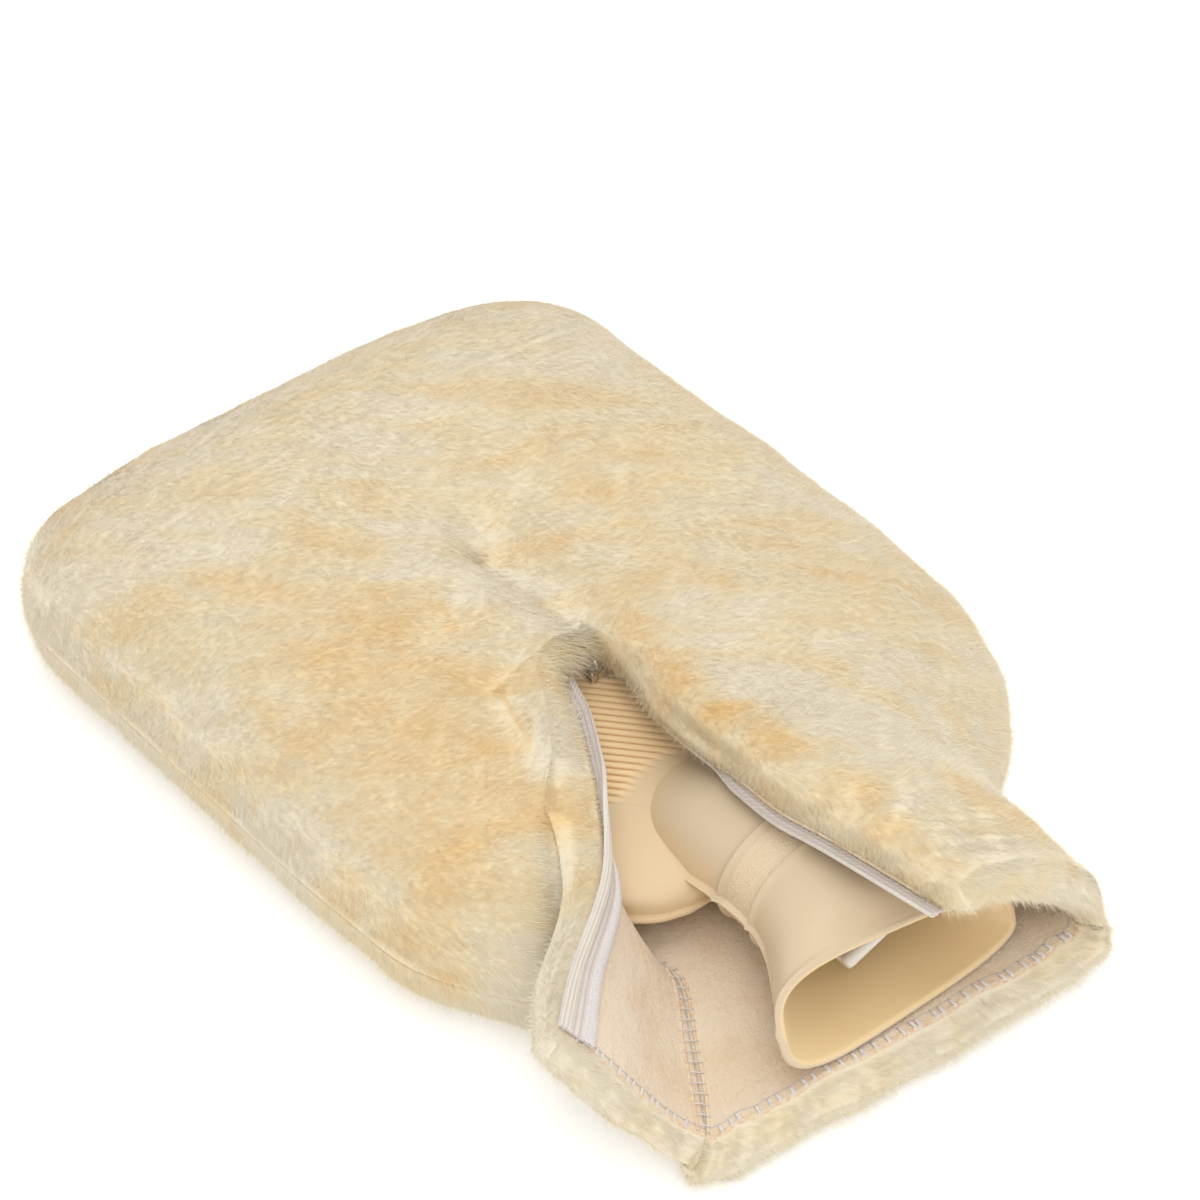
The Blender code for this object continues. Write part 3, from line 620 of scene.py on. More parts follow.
def wool_group():
    """Cream to gold by the painted gold, mottled, with a lighter tip, locks that differ a little, and painted shade,
    greyer, where the wool parts.
    """
    group = bpy.data.node_groups.new("wool colour", "ShaderNodeTree")
    for name in ("Gold", "Lock", "Along", "Painted_Shade"):
        group.interface.new_socket(name, in_out="INPUT", socket_type="NodeSocketFloat")
    group.interface.new_socket("Color", in_out="OUTPUT", socket_type="NodeSocketColor")
    into, out = group.nodes.new("NodeGroupInput"), group.nodes.new("NodeGroupOutput")
    coords = object_coords(group)
    broad = noise_of(group, coords, 60.0, 4.0, 0.5, (2.2, 1.0, 1.0), LIE_TURN, 0.7)
    fine = noise_of(group, coords, 260.0, 3.0, 0.6, (2.6, 1.0, 1.0), LIE_TURN, 0.5)
    value = maths(group, "MULTIPLY_ADD", broad, 1.5, -0.75)
    value = maths(group, "ADD", value, maths(group, "MULTIPLY_ADD", fine, 0.5, -0.25))
    value = maths(group, "ADD", value, into.outputs["Gold"])
    value = maths(group, "MULTIPLY_ADD", into.outputs["Lock"], 0.03, value)
    value = maths(group, "MULTIPLY_ADD", into.outputs["Along"], -0.03, value)
    value = maths(group, "MULTIPLY", value, 0.7, clamp=True)
    colour = ramp(group, value, ((0.0, (0.765, 0.695, 0.55)), (0.2, (0.77, 0.67, 0.475)),
                                 (0.42, (0.77, 0.62, 0.38)), (0.7, (0.765, 0.56, 0.275)), (1.0, (0.70, 0.46, 0.19))))
    # painted shade: the colour goes greyer where the wool parts
    colour = mix(group, into.outputs["Painted_Shade"], colour, (0.50, 0.41, 0.30))
    link(group, colour, out.inputs["Color"])
    return group


WOOL_COLOUR = wool_group()


def wool_material(name, strands):
    made, tree, shader = new_material(name, 0.95, Sheen_Weight=0.25, Sheen_Roughness=0.6,
                                      Specular_IOR_Level=0.15)
    colour = tree.nodes.new("ShaderNodeGroup")
    colour.node_tree = WOOL_COLOUR
    link(tree, attribute(tree, "gold"), colour.inputs["Gold"])
    link(tree, attribute(tree, "painted_shade"), colour.inputs["Painted_Shade"])
    if strands:
        link(tree, attribute(tree, "lock"), colour.inputs["Lock"])
        link(tree, attribute(tree, "along"), colour.inputs["Along"])
    else:
        coords = object_coords(tree)
        strand = noise_of(tree, coords, 900.0, 2.0, 0.6, (5.0, 1.0, 1.0), LIE_TURN)
        bump(tree, shader, strand, 0.0006, 0.4)
    link(tree, colour.outputs["Color"], shader.inputs["Base Color"])
    return made


def suede_material():
    """Brushed skin side: pinkish cream, clouded, with pores, specks and a short nap."""
    made, tree, shader = new_material("brushed suede", 0.92, Sheen_Weight=0.35, Sheen_Roughness=0.5,
                                      Specular_IOR_Level=0.2)
    coords = object_coords(tree)
    cloud = noise_of(tree, coords, 45.0, 5.0, 0.6)
    colour = ramp(tree, cloud, ((0.3, (0.75, 0.555, 0.37)), (0.5, (0.82, 0.66, 0.485)), (0.72, (0.85, 0.735, 0.575))))
    nap = noise_of(tree, coords, 700.0, 4.0, 0.75)
    colour = mix(tree, ramp(tree, nap, ((0.35, grey(0.0)), (0.7, grey(0.55)))), colour, (0.87, 0.755, 0.60))
    specks = noise_of(tree, coords, 500.0, 3.0, 0.6)
    colour = mix(tree, ramp(tree, specks, ((0.62, grey(0.0)), (0.72, grey(0.6)))), colour, (0.70, 0.45, 0.26))
    link(tree, colour, shader.inputs["Base Color"])
    crease = noise_of(tree, coords, 90.0, 4.0, 0.6, (2.8, 1.0, 1.4), math.radians(60))
    bump(tree, shader, maths(tree, "MULTIPLY_ADD", nap, 0.4, crease), 0.0026, 0.9)
    return made


def raw_material():
    """The cut edge of the skin, orange and a little torn."""
    made, tree, shader = new_material("raw skin edge", 0.85)
    coords = object_coords(tree)
    torn = noise_of(tree, coords, 600.0, 4.0, 0.7)
    link(tree, ramp(tree, torn, ((0.35, (0.72, 0.48, 0.29)), (0.5, (0.75, 0.60, 0.43)), (0.6, (0.77, 0.68, 0.54)))),
         shader.inputs["Base Color"])
    bump(tree, shader, torn, 0.0006)
    return made


def rubber_material():
    """Beige moulded rubber, warmer on the body's plate, with painted light on the funnel's inside, the grained band and
    the ribs, and painted shade, a deeper tan, in the grooves where the piece has them.
    """
    made, tree, shader = new_material("beige rubber", 0.42, Specular_IOR_Level=0.4, Sheen_Weight=0.08)
    coords = object_coords(tree)
    cloud = noise_of(tree, coords, 22.0, 3.0, 0.5)
    neck = ramp(tree, cloud, ((0.3, (0.62, 0.495, 0.34)), (0.7, (0.65, 0.52, 0.365))))
    plate = ramp(tree, cloud, ((0.3, (0.70, 0.54, 0.34)), (0.7, (0.73, 0.565, 0.355))))
    colour = mix(tree, attribute(tree, "plate"), neck, plate)
    # painted light: the funnel's inside brighter and more orange, for the warm light bounced round in it
    colour = mix(tree, attribute(tree, "inside"), colour, (0.77, 0.585, 0.325))
    # painted light: the grained band between the beads made lighter, as it is turned from the lamps
    colour = mix(tree, attribute(tree, "grain"), colour, (0.75, 0.60, 0.42))
    # painted light: the ribs in the slit brighter and more orange than the rest
    colour = mix(tree, attribute(tree, "ribs_painted_light"), colour, (0.88, 0.65, 0.37))
    # painted shade: the grooves between the ribs a darker tan
    colour = mix(tree, attribute(tree, "groove"), colour, (0.50, 0.28, 0.10))
    link(tree, colour, shader.inputs["Base Color"])
    dust = noise_of(tree, coords, 260.0, 3.0, 0.6)
    link(tree, ramp(tree, dust, ((0.3, grey(0.36)), (0.75, grey(0.52)))), shader.inputs["Roughness"])
    skin = noise_of(tree, coords, 1500.0, 2.0, 0.5)
    stipple = node(tree, "ShaderNodeTexVoronoi", Scale=1700.0)
    link(tree, coords, stipple.inputs["Vector"])
    grain = maths(tree, "MULTIPLY", stipple.outputs["Distance"], attribute(tree, "grain"))
    bump(tree, shader, maths(tree, "MULTIPLY_ADD", skin, 0.06, grain), 0.0004, 0.7)
    return made


def thread_material(name, colour, shade):
    made, tree, shader = new_material(name, 0.7, Sheen_Weight=0.2)
    coords = object_coords(tree)
    twist = noise_of(tree, coords, 1800.0, 2.0, 0.5)
    link(tree, ramp(tree, twist, ((0.35, shade), (0.65, colour))), shader.inputs["Base Color"])
    return made


def tape_material():
    """Woven tape, a fine twill with lengthwise cords made in the mesh, and painted shade between the cords."""
    made, tree, shader = new_material("white zip tape", 0.8, Sheen_Weight=0.2)
    uv = node(tree, "ShaderNodeUVMap", uv_map="UVMap").outputs["UV"]
    weave = node(tree, "ShaderNodeTexWave", Scale=1.0, Distortion=0.6)
    weave.bands_direction = "DIAGONAL"
    mapping = node(tree, "ShaderNodeMapping")
    mapping.inputs["Scale"].default_value = (260.0, 260.0, 1.0)
    link(tree, uv, mapping.inputs["Vector"])
    link(tree, mapping.outputs["Vector"], weave.inputs["Vector"])
    coords = object_coords(tree)
    worn = noise_of(tree, coords, 120.0, 3.0, 0.6)
    groove = attribute(tree, "groove")
    cloth = ramp(tree, worn, ((0.3, (0.64, 0.575, 0.52)), (0.7, (0.71, 0.66, 0.61))))
    # painted shade: the cloth darker between the cords
    colour = mix(tree, groove, cloth, (0.52, 0.46, 0.44))
    link(tree, colour, shader.inputs["Base Color"])
    bump(tree, shader, weave.outputs["Fac"], 0.00025, 0.6)
    return made


def plastic_material(name, colour, roughness):
    made, tree, shader = new_material(name, roughness)
    coords = object_coords(tree)
    cloud = noise_of(tree, coords, 60.0, 3.0, 0.5)
    dark = tuple(c * 0.9 for c in colour)
    link(tree, ramp(tree, cloud, ((0.3, dark), (0.7, colour))), shader.inputs["Base Color"])
    fine = noise_of(tree, coords, 900.0, 2.0, 0.5)
    bump(tree, shader, fine, 0.0001, 0.4)
    return made


def metal_material():
    made, tree, shader = new_material("bright slider metal", 0.28, Metallic=1.0)
    coords = object_coords(tree)
    rub = noise_of(tree, coords, 500.0, 3.0, 0.6, (5.0, 1.0, 1.0), math.radians(90))
    link(tree, ramp(tree, rub, ((0.3, (0.66, 0.65, 0.64)), (0.7, (0.80, 0.79, 0.78)))), shader.inputs["Base Color"])
    link(tree, ramp(tree, rub, ((0.3, grey(0.22)), (0.7, grey(0.4)))), shader.inputs["Roughness"])
    return made


WOOL_BASE, WOOL_STRANDS = wool_material("clipped wool", False), wool_material("wool strands", True)
SUEDE_SIDE, RAW_EDGE = suede_material(), raw_material()
RUBBER = rubber_material()
WHITE_THREAD = thread_material("white sewing thread", (0.78, 0.74, 0.73), (0.66, 0.62, 0.63))
BLUE_THREAD = thread_material("grey blue thread", (0.62, 0.62, 0.62), (0.50, 0.50, 0.51))
TAPE_CLOTH = tape_material()
NYLON = plastic_material("covered nylon coil", (0.70, 0.65, 0.58), 0.6)
PULL_WHITE = plastic_material("white pull plastic", (0.84, 0.82, 0.77), 0.3)
STOPPER_WHITE = plastic_material("frosted stopper plastic", (0.82, 0.79, 0.74), 0.35)
SLIDER_METAL = metal_material()
PELT_LOOKS = (SUEDE_SIDE, WOOL_BASE, RAW_EDGE)


# ---------------------------------------------------------------- wool: its colour, its lumps and its strands

STRANDS, QUICK_STRANDS = 190000, 60000  # one-triangle strands in one piece
LENGTHS = (4.0, 7.0)
WIDTHS = (0.10, 0.24)
LAID, LOOSE = (0.1, 0.7), (0.8, 2.5)  # how far tips stand off the wool: most strands, and more for loose ones
CLUMP = 3.2  # lattice on which tips draw together
WISPS = np.array([-13.0, -17.0, 58.0])  # the opening's end, with long strands across it
WISP_WAY, WISP_REACH, WISP_STRETCH = np.array([0.7, -0.6, 0.0]), 10.0, 1.8


def drift(points, wave, seed):
    """A smooth random field between about -1 and 1."""
    x, y, z = (points[:, i] / wave + seed * (1.3 + i) for i in range(3))
    return (np.sin(x + 1.7 * np.sin(y * 0.9 + z)) + np.sin(y * 1.1 + 1.6 * np.sin(z * 1.2 + 0.7 * x))
            + np.sin(z + 1.3 * np.sin(x * 0.8))) / 3


def drifts(points, wave, seeds):
    return np.stack([drift(points, wave, seed) for seed in seeds], axis=1)


def gold_at(points):
    """How golden the wool is: painted patches, warped, painted shade along creases, and paler low down by the floor."""
    warped = points + 5.0 * drifts(points, 9.0, (1, 2, 3))
    gold = 0.22 + 0.08 * drift(points, 16.0, 4) + 0.05 * drift(points, 5.0, 5)
    for x, y, z, along, across, strength in GOLD:
        gap = warped - (x, y, z)
        run, side = gap[:, :2] @ LIE, gap[:, :2] @ (LIE[1], -LIE[0])
        far = -(run / along) ** 2 - (side / across) ** 2 - (gap[:, 2] / (1.6 * across)) ** 2
        gold += 1.35 * strength * np.exp(far)
    # painted shade: the creases darkened into a deeper gold
    for *line, width in PAINTED_CREASE_SHADE:
        gold += 0.7 * beside(points[:, 0], points[:, 1], *line, width) * (points[:, 2] > TOP_Z)
    for *line, strength in RIMS:
        gold += strength * beside(points[:, 0], points[:, 1], *line) * (points[:, 2] > TOP_Z)
    return gold - 0.2 * np.clip((26.0 - points[:, 2]) / 26.0, 0.0, 1.0)


def painted_shade_at(points):
    """How much painted shade there is where the wool parts."""
    parts = sum(strength * beside(points[:, 0], points[:, 1], *line) for *line, strength in PAINTED_SHADE_LINES)
    return parts * (points[:, 2] > TOP_Z)


def mesh_arrays(mesh):
    """(points in mm, normals, triangles, finish of each triangle)."""
    mesh.calc_loop_triangles()
    points, normals = np.empty(len(mesh.vertices) * 3), np.empty(len(mesh.vertices) * 3)
    mesh.vertices.foreach_get("co", points)
    mesh.vertices.foreach_get("normal", normals)
    corners = np.empty(len(mesh.loop_triangles) * 3, int)
    mesh.loop_triangles.foreach_get("vertices", corners)
    looks = np.empty(len(mesh.loop_triangles), int)
    mesh.loop_triangles.foreach_get("material_index", looks)
    return points.reshape(-1, 3) / MM, normals.reshape(-1, 3), corners.reshape(-1, 3), looks


def add_attribute(mesh, name, values):
    mesh.attributes.new(name, "FLOAT", "POINT").data.foreach_set("value", np.ascontiguousarray(values, np.float32))


def lumpy(obj):
    """Raises and lowers the wool a little, keeps the underside flat, and paints the gold on it, and painted shade where
    the wool parts.
    """
    mesh = obj.data
    points, normals, corners, looks = mesh_arrays(mesh)
    woolly = np.zeros(len(points), bool)
    woolly[corners[looks == WOOL].ravel()] = True
    woolly[corners[looks != WOOL].ravel()] = False
    rise = 0.6 * drift(points, 8.0, 6) + 0.25 * drift(points, 3.4, 7) + 0.1 * drift(points, 1.6, 8)
    fluff = np.clip((-112.0 - points[:, 1]) / 25.0, 0.0, 1.0)
    rise += fluff * (0.9 * drift(points, 5.5, 21) + 0.5 * drift(points, 2.6, 22))
    woolly &= (points[:, 2] > 3.0) | (normals[:, 2] > -0.3)
    points[woolly] += normals[woolly] * (rise[woolly] - 0.5)[:, None]
    points[:, 2] = np.maximum(points[:, 2], 0.0)
    mesh.vertices.foreach_set("co", (points * MM).ravel())
    mesh.update()
    add_attribute(mesh, "gold", gold_at(points))
    add_attribute(mesh, "painted_shade", painted_shade_at(points))


def combed(points, normals, rng):
    """Where the strands lie: the comb's way, turned by slow swirls, falling where the wool is steep."""
    angle = math.radians(28) * drift(points, 14.0, 9) + math.radians(18) * drift(points, 4.5, 10)
    angle += rng.normal(0.0, 0.38, len(points))
    c, s = np.cos(angle), np.sin(angle)
    way = np.stack([LIE[0] * c - LIE[1] * s, LIE[0] * s + LIE[1] * c, np.zeros(len(points))], axis=1)
    steep = np.clip(1.0 - normals[:, 2], 0.0, 1.0)[:, None]
    way = way * (1.0 - 0.45 * steep) + np.array([0, 0, -0.75]) * steep + 0.3 * normals * (1, 1, 0) * steep
    return units(way - normals * np.sum(way * normals, axis=1, keepdims=True))


def strand_mesh(name, points, normals, tips, widths, ways, gold, lock):
    """One triangle a strand, each in its own cell of the bake map, shaded softly with the wool under it."""
    count = len(points)
    lean = units(tips - points)
    across = units(np.cross(lean, normals + 0.05 * ways)) * widths[:, None] / 2
    corners = np.stack([points - across, points + across, tips], axis=1).reshape(-1, 3)
    corners[:, 2] = np.maximum(corners[:, 2], 0.15)
    mesh = bpy.data.meshes.new(name)
    mesh.vertices.add(3 * count)
    mesh.vertices.foreach_set("co", (corners * MM).ravel())
    mesh.loops.add(3 * count)
    mesh.loops.foreach_set("vertex_index", np.arange(3 * count, dtype=np.int32))
    mesh.polygons.add(count)
    mesh.polygons.foreach_set("loop_start", np.arange(0, 3 * count, 3, dtype=np.int32))
    mesh.update(calc_edges=True)
    mesh.shade_smooth()
    cells = math.ceil(math.sqrt(count))
    cell = np.stack([np.arange(count) % cells, np.arange(count) // cells], axis=1)[:, None, :]
    spots = np.array([(0.2, 0.2), (0.8, 0.2), (0.5, 0.8)])[None]
    mesh.uv_layers.new(name="OFBake").data.foreach_set("uv", ((cell + spots) / cells).astype(np.float32).ravel())
    add_attribute(mesh, "gold", np.repeat(gold, 3))
    # the painted shade where the wool parts, on the strands too
    add_attribute(mesh, "painted_shade", np.repeat(painted_shade_at(points), 3))
    add_attribute(mesh, "lock", np.repeat(lock, 3))
    add_attribute(mesh, "along", np.tile((0.0, 0.0, 1.0), count))
    flat = units(np.cross(corners[1::3] - corners[0::3], corners[2::3] - corners[0::3]))
    tall = np.clip(2.5 * (np.sum(lean * normals, axis=1, keepdims=True) - 0.22), 0.0, 1.0)
    soft = np.repeat(units(normals * 0.93 * (1.0 - tall) + flat * (0.07 + tall)), 3, axis=0)
    mesh.normals_split_custom_set_from_vertices(soft)
    mesh.materials.append(WOOL_STRANDS)
    obj = new_object(name, mesh)
    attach(obj, "cover")
    return obj


def strands_on(obj, name, pieces, each, seed):
    """Combed strands all over a pelt's wool, in so many pieces, with few on the side that lies on the floor."""
    rng = np.random.default_rng(seed)
    points, normals, corners, looks = mesh_arrays(obj.data)
    corners = corners[looks == WOOL]
    a, b, c = (points[corners[:, i]] for i in range(3))
    areas = np.linalg.norm(np.cross(b - a, c - a), axis=1) / 2
    facing = units(np.cross(b - a, c - a))
    middle = (a + b + c) / 3
    areas *= np.where((middle[:, 2] < 3.0) & (facing[:, 2] < -0.7), 0.05, 1.0)
    total = np.cumsum(areas)
    count = pieces * each
    drawn = np.searchsorted(total, (np.arange(count) + rng.random(count)) / count * total[-1])
    drawn = np.minimum(drawn, len(corners) - 1)
    u, v = rng.random(count), rng.random(count)
    over = u + v > 1
    u[over], v[over] = 1 - u[over], 1 - v[over]
    weights = np.stack([1 - u - v, u, v], axis=1)[:, :, None]
    roots = (points[corners[drawn]] * weights).sum(axis=1)
    out = units((normals[corners[drawn]] * weights).sum(axis=1))
    ways = combed(roots, out, rng)
    lengths = rng.uniform(*LENGTHS, count)[:, None]
    share = 0.04 + 0.3 * np.clip(1.0 - out[:, 2:], 0.0, 1.0)
    loose = rng.random((count, 1)) < share
    stand = rng.uniform(*LAID, (count, 1)) + rng.uniform(*LOOSE, (count, 1)) * loose
    ways = units(ways + 0.28 * loose * rng.normal(0.0, 1.0, (count, 3)))
    near = np.exp(-(np.linalg.norm(roots - WISPS, axis=1) / WISP_REACH) ** 2)[:, None]
    near = near * (rng.random((count, 1)) > 0.45)
    wisps = units(WISP_WAY + rng.normal(0.0, 0.35, (count, 3)))
    ways = units(ways * (1 - near) + wisps * near)
    lengths = lengths * (1 + WISP_STRETCH * near)
    tips = roots + ways * lengths * 0.8 + out * stand
    warped = roots + 1.5 * drifts(roots, 2.2, (11, 12, 13))
    cells = np.floor(warped / CLUMP).astype(np.int64) + 300
    key = (cells[:, 0] * 1000 + cells[:, 1]) * 1000 + cells[:, 2]
    _, clump = np.unique(key, return_inverse=True)
    clump = clump.reshape(-1)
    size = np.maximum(np.bincount(clump), 1)
    centre = np.stack([np.bincount(clump, tips[:, i]) for i in range(3)], axis=1) / size[:, None]
    pull = rng.uniform(0.0, 0.35, count)[:, None]
    tips += (centre[clump] - tips) * pull * (1, 1, 0.6)
    lock = rng.uniform(-1.0, 1.0, len(size))[clump] * 0.6 + rng.normal(0.0, 0.35, count)
    widths = rng.uniform(*WIDTHS, count)
    gold = gold_at(roots)
    made = []
    for i in range(pieces):
        part = slice(i * each, (i + 1) * each)
        made.append(strand_mesh(f"{name}_{i + 1}", roots[part] - 0.3 * out[part], out[part], tips[part],
                                widths[part], ways[part], gold[part], lock[part]))
    return made


# ---------------------------------------------------------------- the rubber bottle and its stopper

AROUND = 160
BODY_ROWS, NECK_ROWS = 8, 14  # sections made between two rows of the tables
WALL = 2.4
FUNNEL_FLOOR = -113.0
FLANGE_REACH, FLANGE_THICK, FLANGE_Z = 3.6, 1.6, 29.2
RIDGE = (-174, -140, -112), (0.8, 1.3, 2.6)  # how far the moulding ridge stands out down the neck's two sides
BEADS = ((-116, 1.1, 1.0), (-132, 1.1, 1.0))  # y, height, half width of the rings round the neck
PITCH = 3.0  # rib to rib on the bottle's chest
RIB_DEEP = 0.9
RIB_WAY, RIB_STEP = np.array([0.66, -0.75]), np.array([0.75, 0.66])
RIB_ENDS = ((-72, 27), (-68.5, 29), (-65.5, 30.6), (-59.4, 32), (-55.8, 34.6), (-52.3, 36.5), (-48, 40.5), (-42, 50),
            (-30, 70), (0, 90))
BODY_COLUMNS = ("y", "x", "half", "low", "high", "power")
BODY_SECTIONS = (
    (154, 0, 74, 28.0, 34.0, 2.6),
    (151, 0, 84, 24.0, 37.5, 2.6),
    (144, 0, 92, 21.5, 40.5, 2.6),
    (128, 0, 97, 20.0, 42.5, 2.6),
    (90, 0, 98, 19.6, 43.0, 2.6),
    (20, 0, 98, 19.6, 43.0, 2.6),
    (-36, 0, 98, 19.6, 43.0, 2.6),
    (-62, 1, 93, 20.0, 43.0, 2.6),
    (-78, 1, 83, 21.0, 42.8, 2.8),
    (-90, 0, 66, 22.5, 42.0, 3.0),
    (-99, -5, 51, 24.0, 40.5, 3.0),
    (-104, -8, 41, 25.5, 38.5, 2.8),
    (-107, -10, 30, 28.0, 35.5, 2.6),
)
NECK_COLUMNS = ("y_low", "y_high", "left", "right", "low", "high_left", "high_right", "power")
NECK_SECTIONS = (
    (-62, -62, -24, 6, 25.0, 41.0, 41.0, 2.2),
    (-71, -72, -32, 12, 22.5, 46.0, 46.0, 2.2),
    (-80, -81, -36, 16, 21.3, 50.5, 50.5, 2.1),
    (-90, -90, -37, 17.5, 20.3, 54.0, 54.0, 2.1),
    (-102, -101, -37, 17, 19.8, 56.4, 56.4, 2.0),
    (-116, -114, -36, 16, 19.4, 57.4, 57.4, 2.0),
    (-132, -129, -37, 18, 19.3, 57.6, 56.8, 2.1),
    (-146, -141, -42, 23, 19.0, 57.6, 53.5, 2.3),
    (-159, -152, -50, 29, 18.8, 57.0, 50.0, 2.7),
    (-170, -160, -57, 35, 18.6, 57.0, 41.0, 3.2),
    (-174, -163, -60, 37, 18.6, 57.6, 36.0, 3.4),
)
AXIS_X, AXIS_Z = -9.5, 35.3
SEAT_Y, PLUG_RADIUS, PLUG_LENGTH = -116.6, 12.5, 9.0
PADDLE_WIDTH, PADDLE_END, PADDLE_TURN = 25.4, -158.0, 19.0


def section(left, right, low, high_left, high_right, power, y_low, y_high, inset=0.0, ridge=0.0):
    """A closed section across the bottle, its top sloping from left to right, with a ridge on its two sides."""
    points = []
    for i in range(AROUND):
        angle = 2 * math.pi * i / AROUND
        c, s = (math.copysign(abs(v) ** (2 / power), v) for v in (math.cos(angle), math.sin(angle)))
        x = (left + right) / 2 + c * ((right - left) / 2 - inset + (ridge if i % (AROUND // 2) == 0 else 0.0))
        high = lerp(high_left, high_right, (x - left) / (right - left))
        up = (s + 1) / 2
        points.append((x, lerp(y_low, y_high, up), lerp(low + inset, high - inset, up)))
    return points


def loft(bm, sections):
    """A closed tube through the sections, with a face over each end."""
    rows = [verts_of(bm, points) for points in sections]
    grid_faces(bm, [row + row[:1] for row in rows])
    bm.faces.new(rows[0])
    bm.faces.new(rows[-1])


def joined(target, others):
    """Joins the others into the target with Booleans, applied, and takes them away."""
    bpy.context.view_layer.objects.active = target
    for other in others:
        step = target.modifiers.new("join", "BOOLEAN")
        step.operation, step.object = "UNION", other
        bpy.ops.object.modifier_apply(modifier=step.name)
        bpy.data.objects.remove(other)
    return target


def bottle_body():
    bm = bmesh.new()
    loft(bm, [section(x - half, x + half, low, high, high, power, y, y)
              for y, x, half, low, high, power in table_curve(BODY_SECTIONS, BODY_COLUMNS, BODY_COLUMNS, BODY_ROWS)])
    return new_object("rubber_bottle", mesh_of("rubber_bottle", bm))


def bottle_neck():
    """Neck and funnel in one: two thin beads round it, a ridge down each side and a rolled rim."""
    bm = bmesh.new()
    rows = table_curve(NECK_SECTIONS, NECK_COLUMNS, NECK_COLUMNS, NECK_ROWS)
    outside, inside = [], []
    for y_low, y_high, left, right, low, high_left, high_right, power in rows:
        lift = max(height * math.exp(-((y_low - bead) / half) ** 2) for bead, height, half in BEADS)
        lift = max(lift, 0.7 * math.exp(-((y_low - rows[-1][0]) / 2.0) ** 2))
        shape = (left, right, low, high_left, high_right, power, y_low, y_high)
        outside.append(section(*shape, -lift, np.interp(y_low, *RIDGE)))
        if y_low < FUNNEL_FLOOR:
            inside.append(section(*shape, WALL))
    y_low, y_high, *shape = rows[-1]
    rim = []
    for turn in (25, 60, 90, 120, 155):
        c, s = math.cos(math.radians(turn)), math.sin(math.radians(turn))
        inset = (WALL - 0.7) / 2 - c * (WALL + 0.7) / 2
        rim.append(section(*shape, y_low - 1.5 * s, y_high - 1.5 * s, inset, RIDGE[1][0] * max(c, 0)))
    loft(bm, outside + rim + inside[::-1])
    return new_object("neck_form", mesh_of("neck_form", bm))


def bottle_flange():
    bm = bmesh.new()
    rows = table_curve(BODY_SECTIONS, BODY_COLUMNS, ("y", "x", "half"), BODY_ROWS)
    outline = [(x + half, y) for y, x, half in rows] + [(x - half, y) for y, x, half in rows[::-1]]
    centre = np.mean(outline, axis=0)
    rings = []
    for grow, z in ((FLANGE_REACH - 0.5, 0.0), (FLANGE_REACH, 0.5), (FLANGE_REACH, FLANGE_THICK - 0.5),
                    (FLANGE_REACH - 0.5, FLANGE_THICK)):
        ring = []
        for x, y in outline:
            out = unit(np.array([x - centre[0], (y - centre[1]) * 0.4]))
            ring.append((x + grow * out[0], y + grow * out[1] * 0.6, FLANGE_Z + z))
        rings.append(ring)
    loft(bm, rings)
    return new_object("flange_form", mesh_of("flange_form", bm))


def plate_share(points):
    """1 on the body, down to 0 on the neck that stands out of it."""
    return np.clip((48.0 - points[:, 2]) / 5.0, 0.0, 1.0) * np.clip((points[:, 1] + 114.0) / 5.0, 0.0, 1.0)


def rubber_bottle():
    obj = joined(bottle_body(), [bottle_neck(), bottle_flange()])
    mesh = obj.data
    mesh.materials.clear()
    mesh.materials.append(RUBBER)
    mesh.shade_smooth()
    mesh.set_sharp_from_angle(angle=math.radians(45))
    points, normals = mesh_arrays(mesh)[:2]
    band = points[:, 1] + (57.0 - points[:, 2]) * 0.06
    # the grained band: its stipple, and painted light that makes it lighter
    add_attribute(mesh, "grain", np.clip((-117.5 - band + 1.4) / 0.8, 0, 1) * np.clip((band + 129.0) / 0.8, 0, 1))
    add_attribute(mesh, "groove", np.zeros(len(points)))
    add_attribute(mesh, "plate", plate_share(points))
    inward = (normals[:, 0] * (points[:, 0] - AXIS_X) + normals[:, 2] * (points[:, 2] - AXIS_Z)) < 0
    add_attribute(mesh, "ribs_painted_light", np.zeros(len(points)))
    # where the funnel's inside gets its painted bounce light
    add_attribute(mesh, "inside", inward * np.clip((FUNNEL_FLOOR - points[:, 1]) / 4.0, 0.0, 1.0))
    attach(obj, "cover")
    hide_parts("bottle")


CHEST_ROWS = table_curve(BODY_SECTIONS, BODY_COLUMNS, BODY_COLUMNS, BODY_ROWS)[::-1]


def chest_height(x, y):
    """The top of the bottle's body."""
    centre, half, low, high, power = (np.interp(y, CHEST_ROWS[:, 0], CHEST_ROWS[:, i]) for i in range(1, 6))
    across = np.clip(np.abs(x - centre) / half, 0.0, 0.98)
    return (low + high) / 2 + (high - low) / 2 * (1 - across ** power) ** (1 / power)


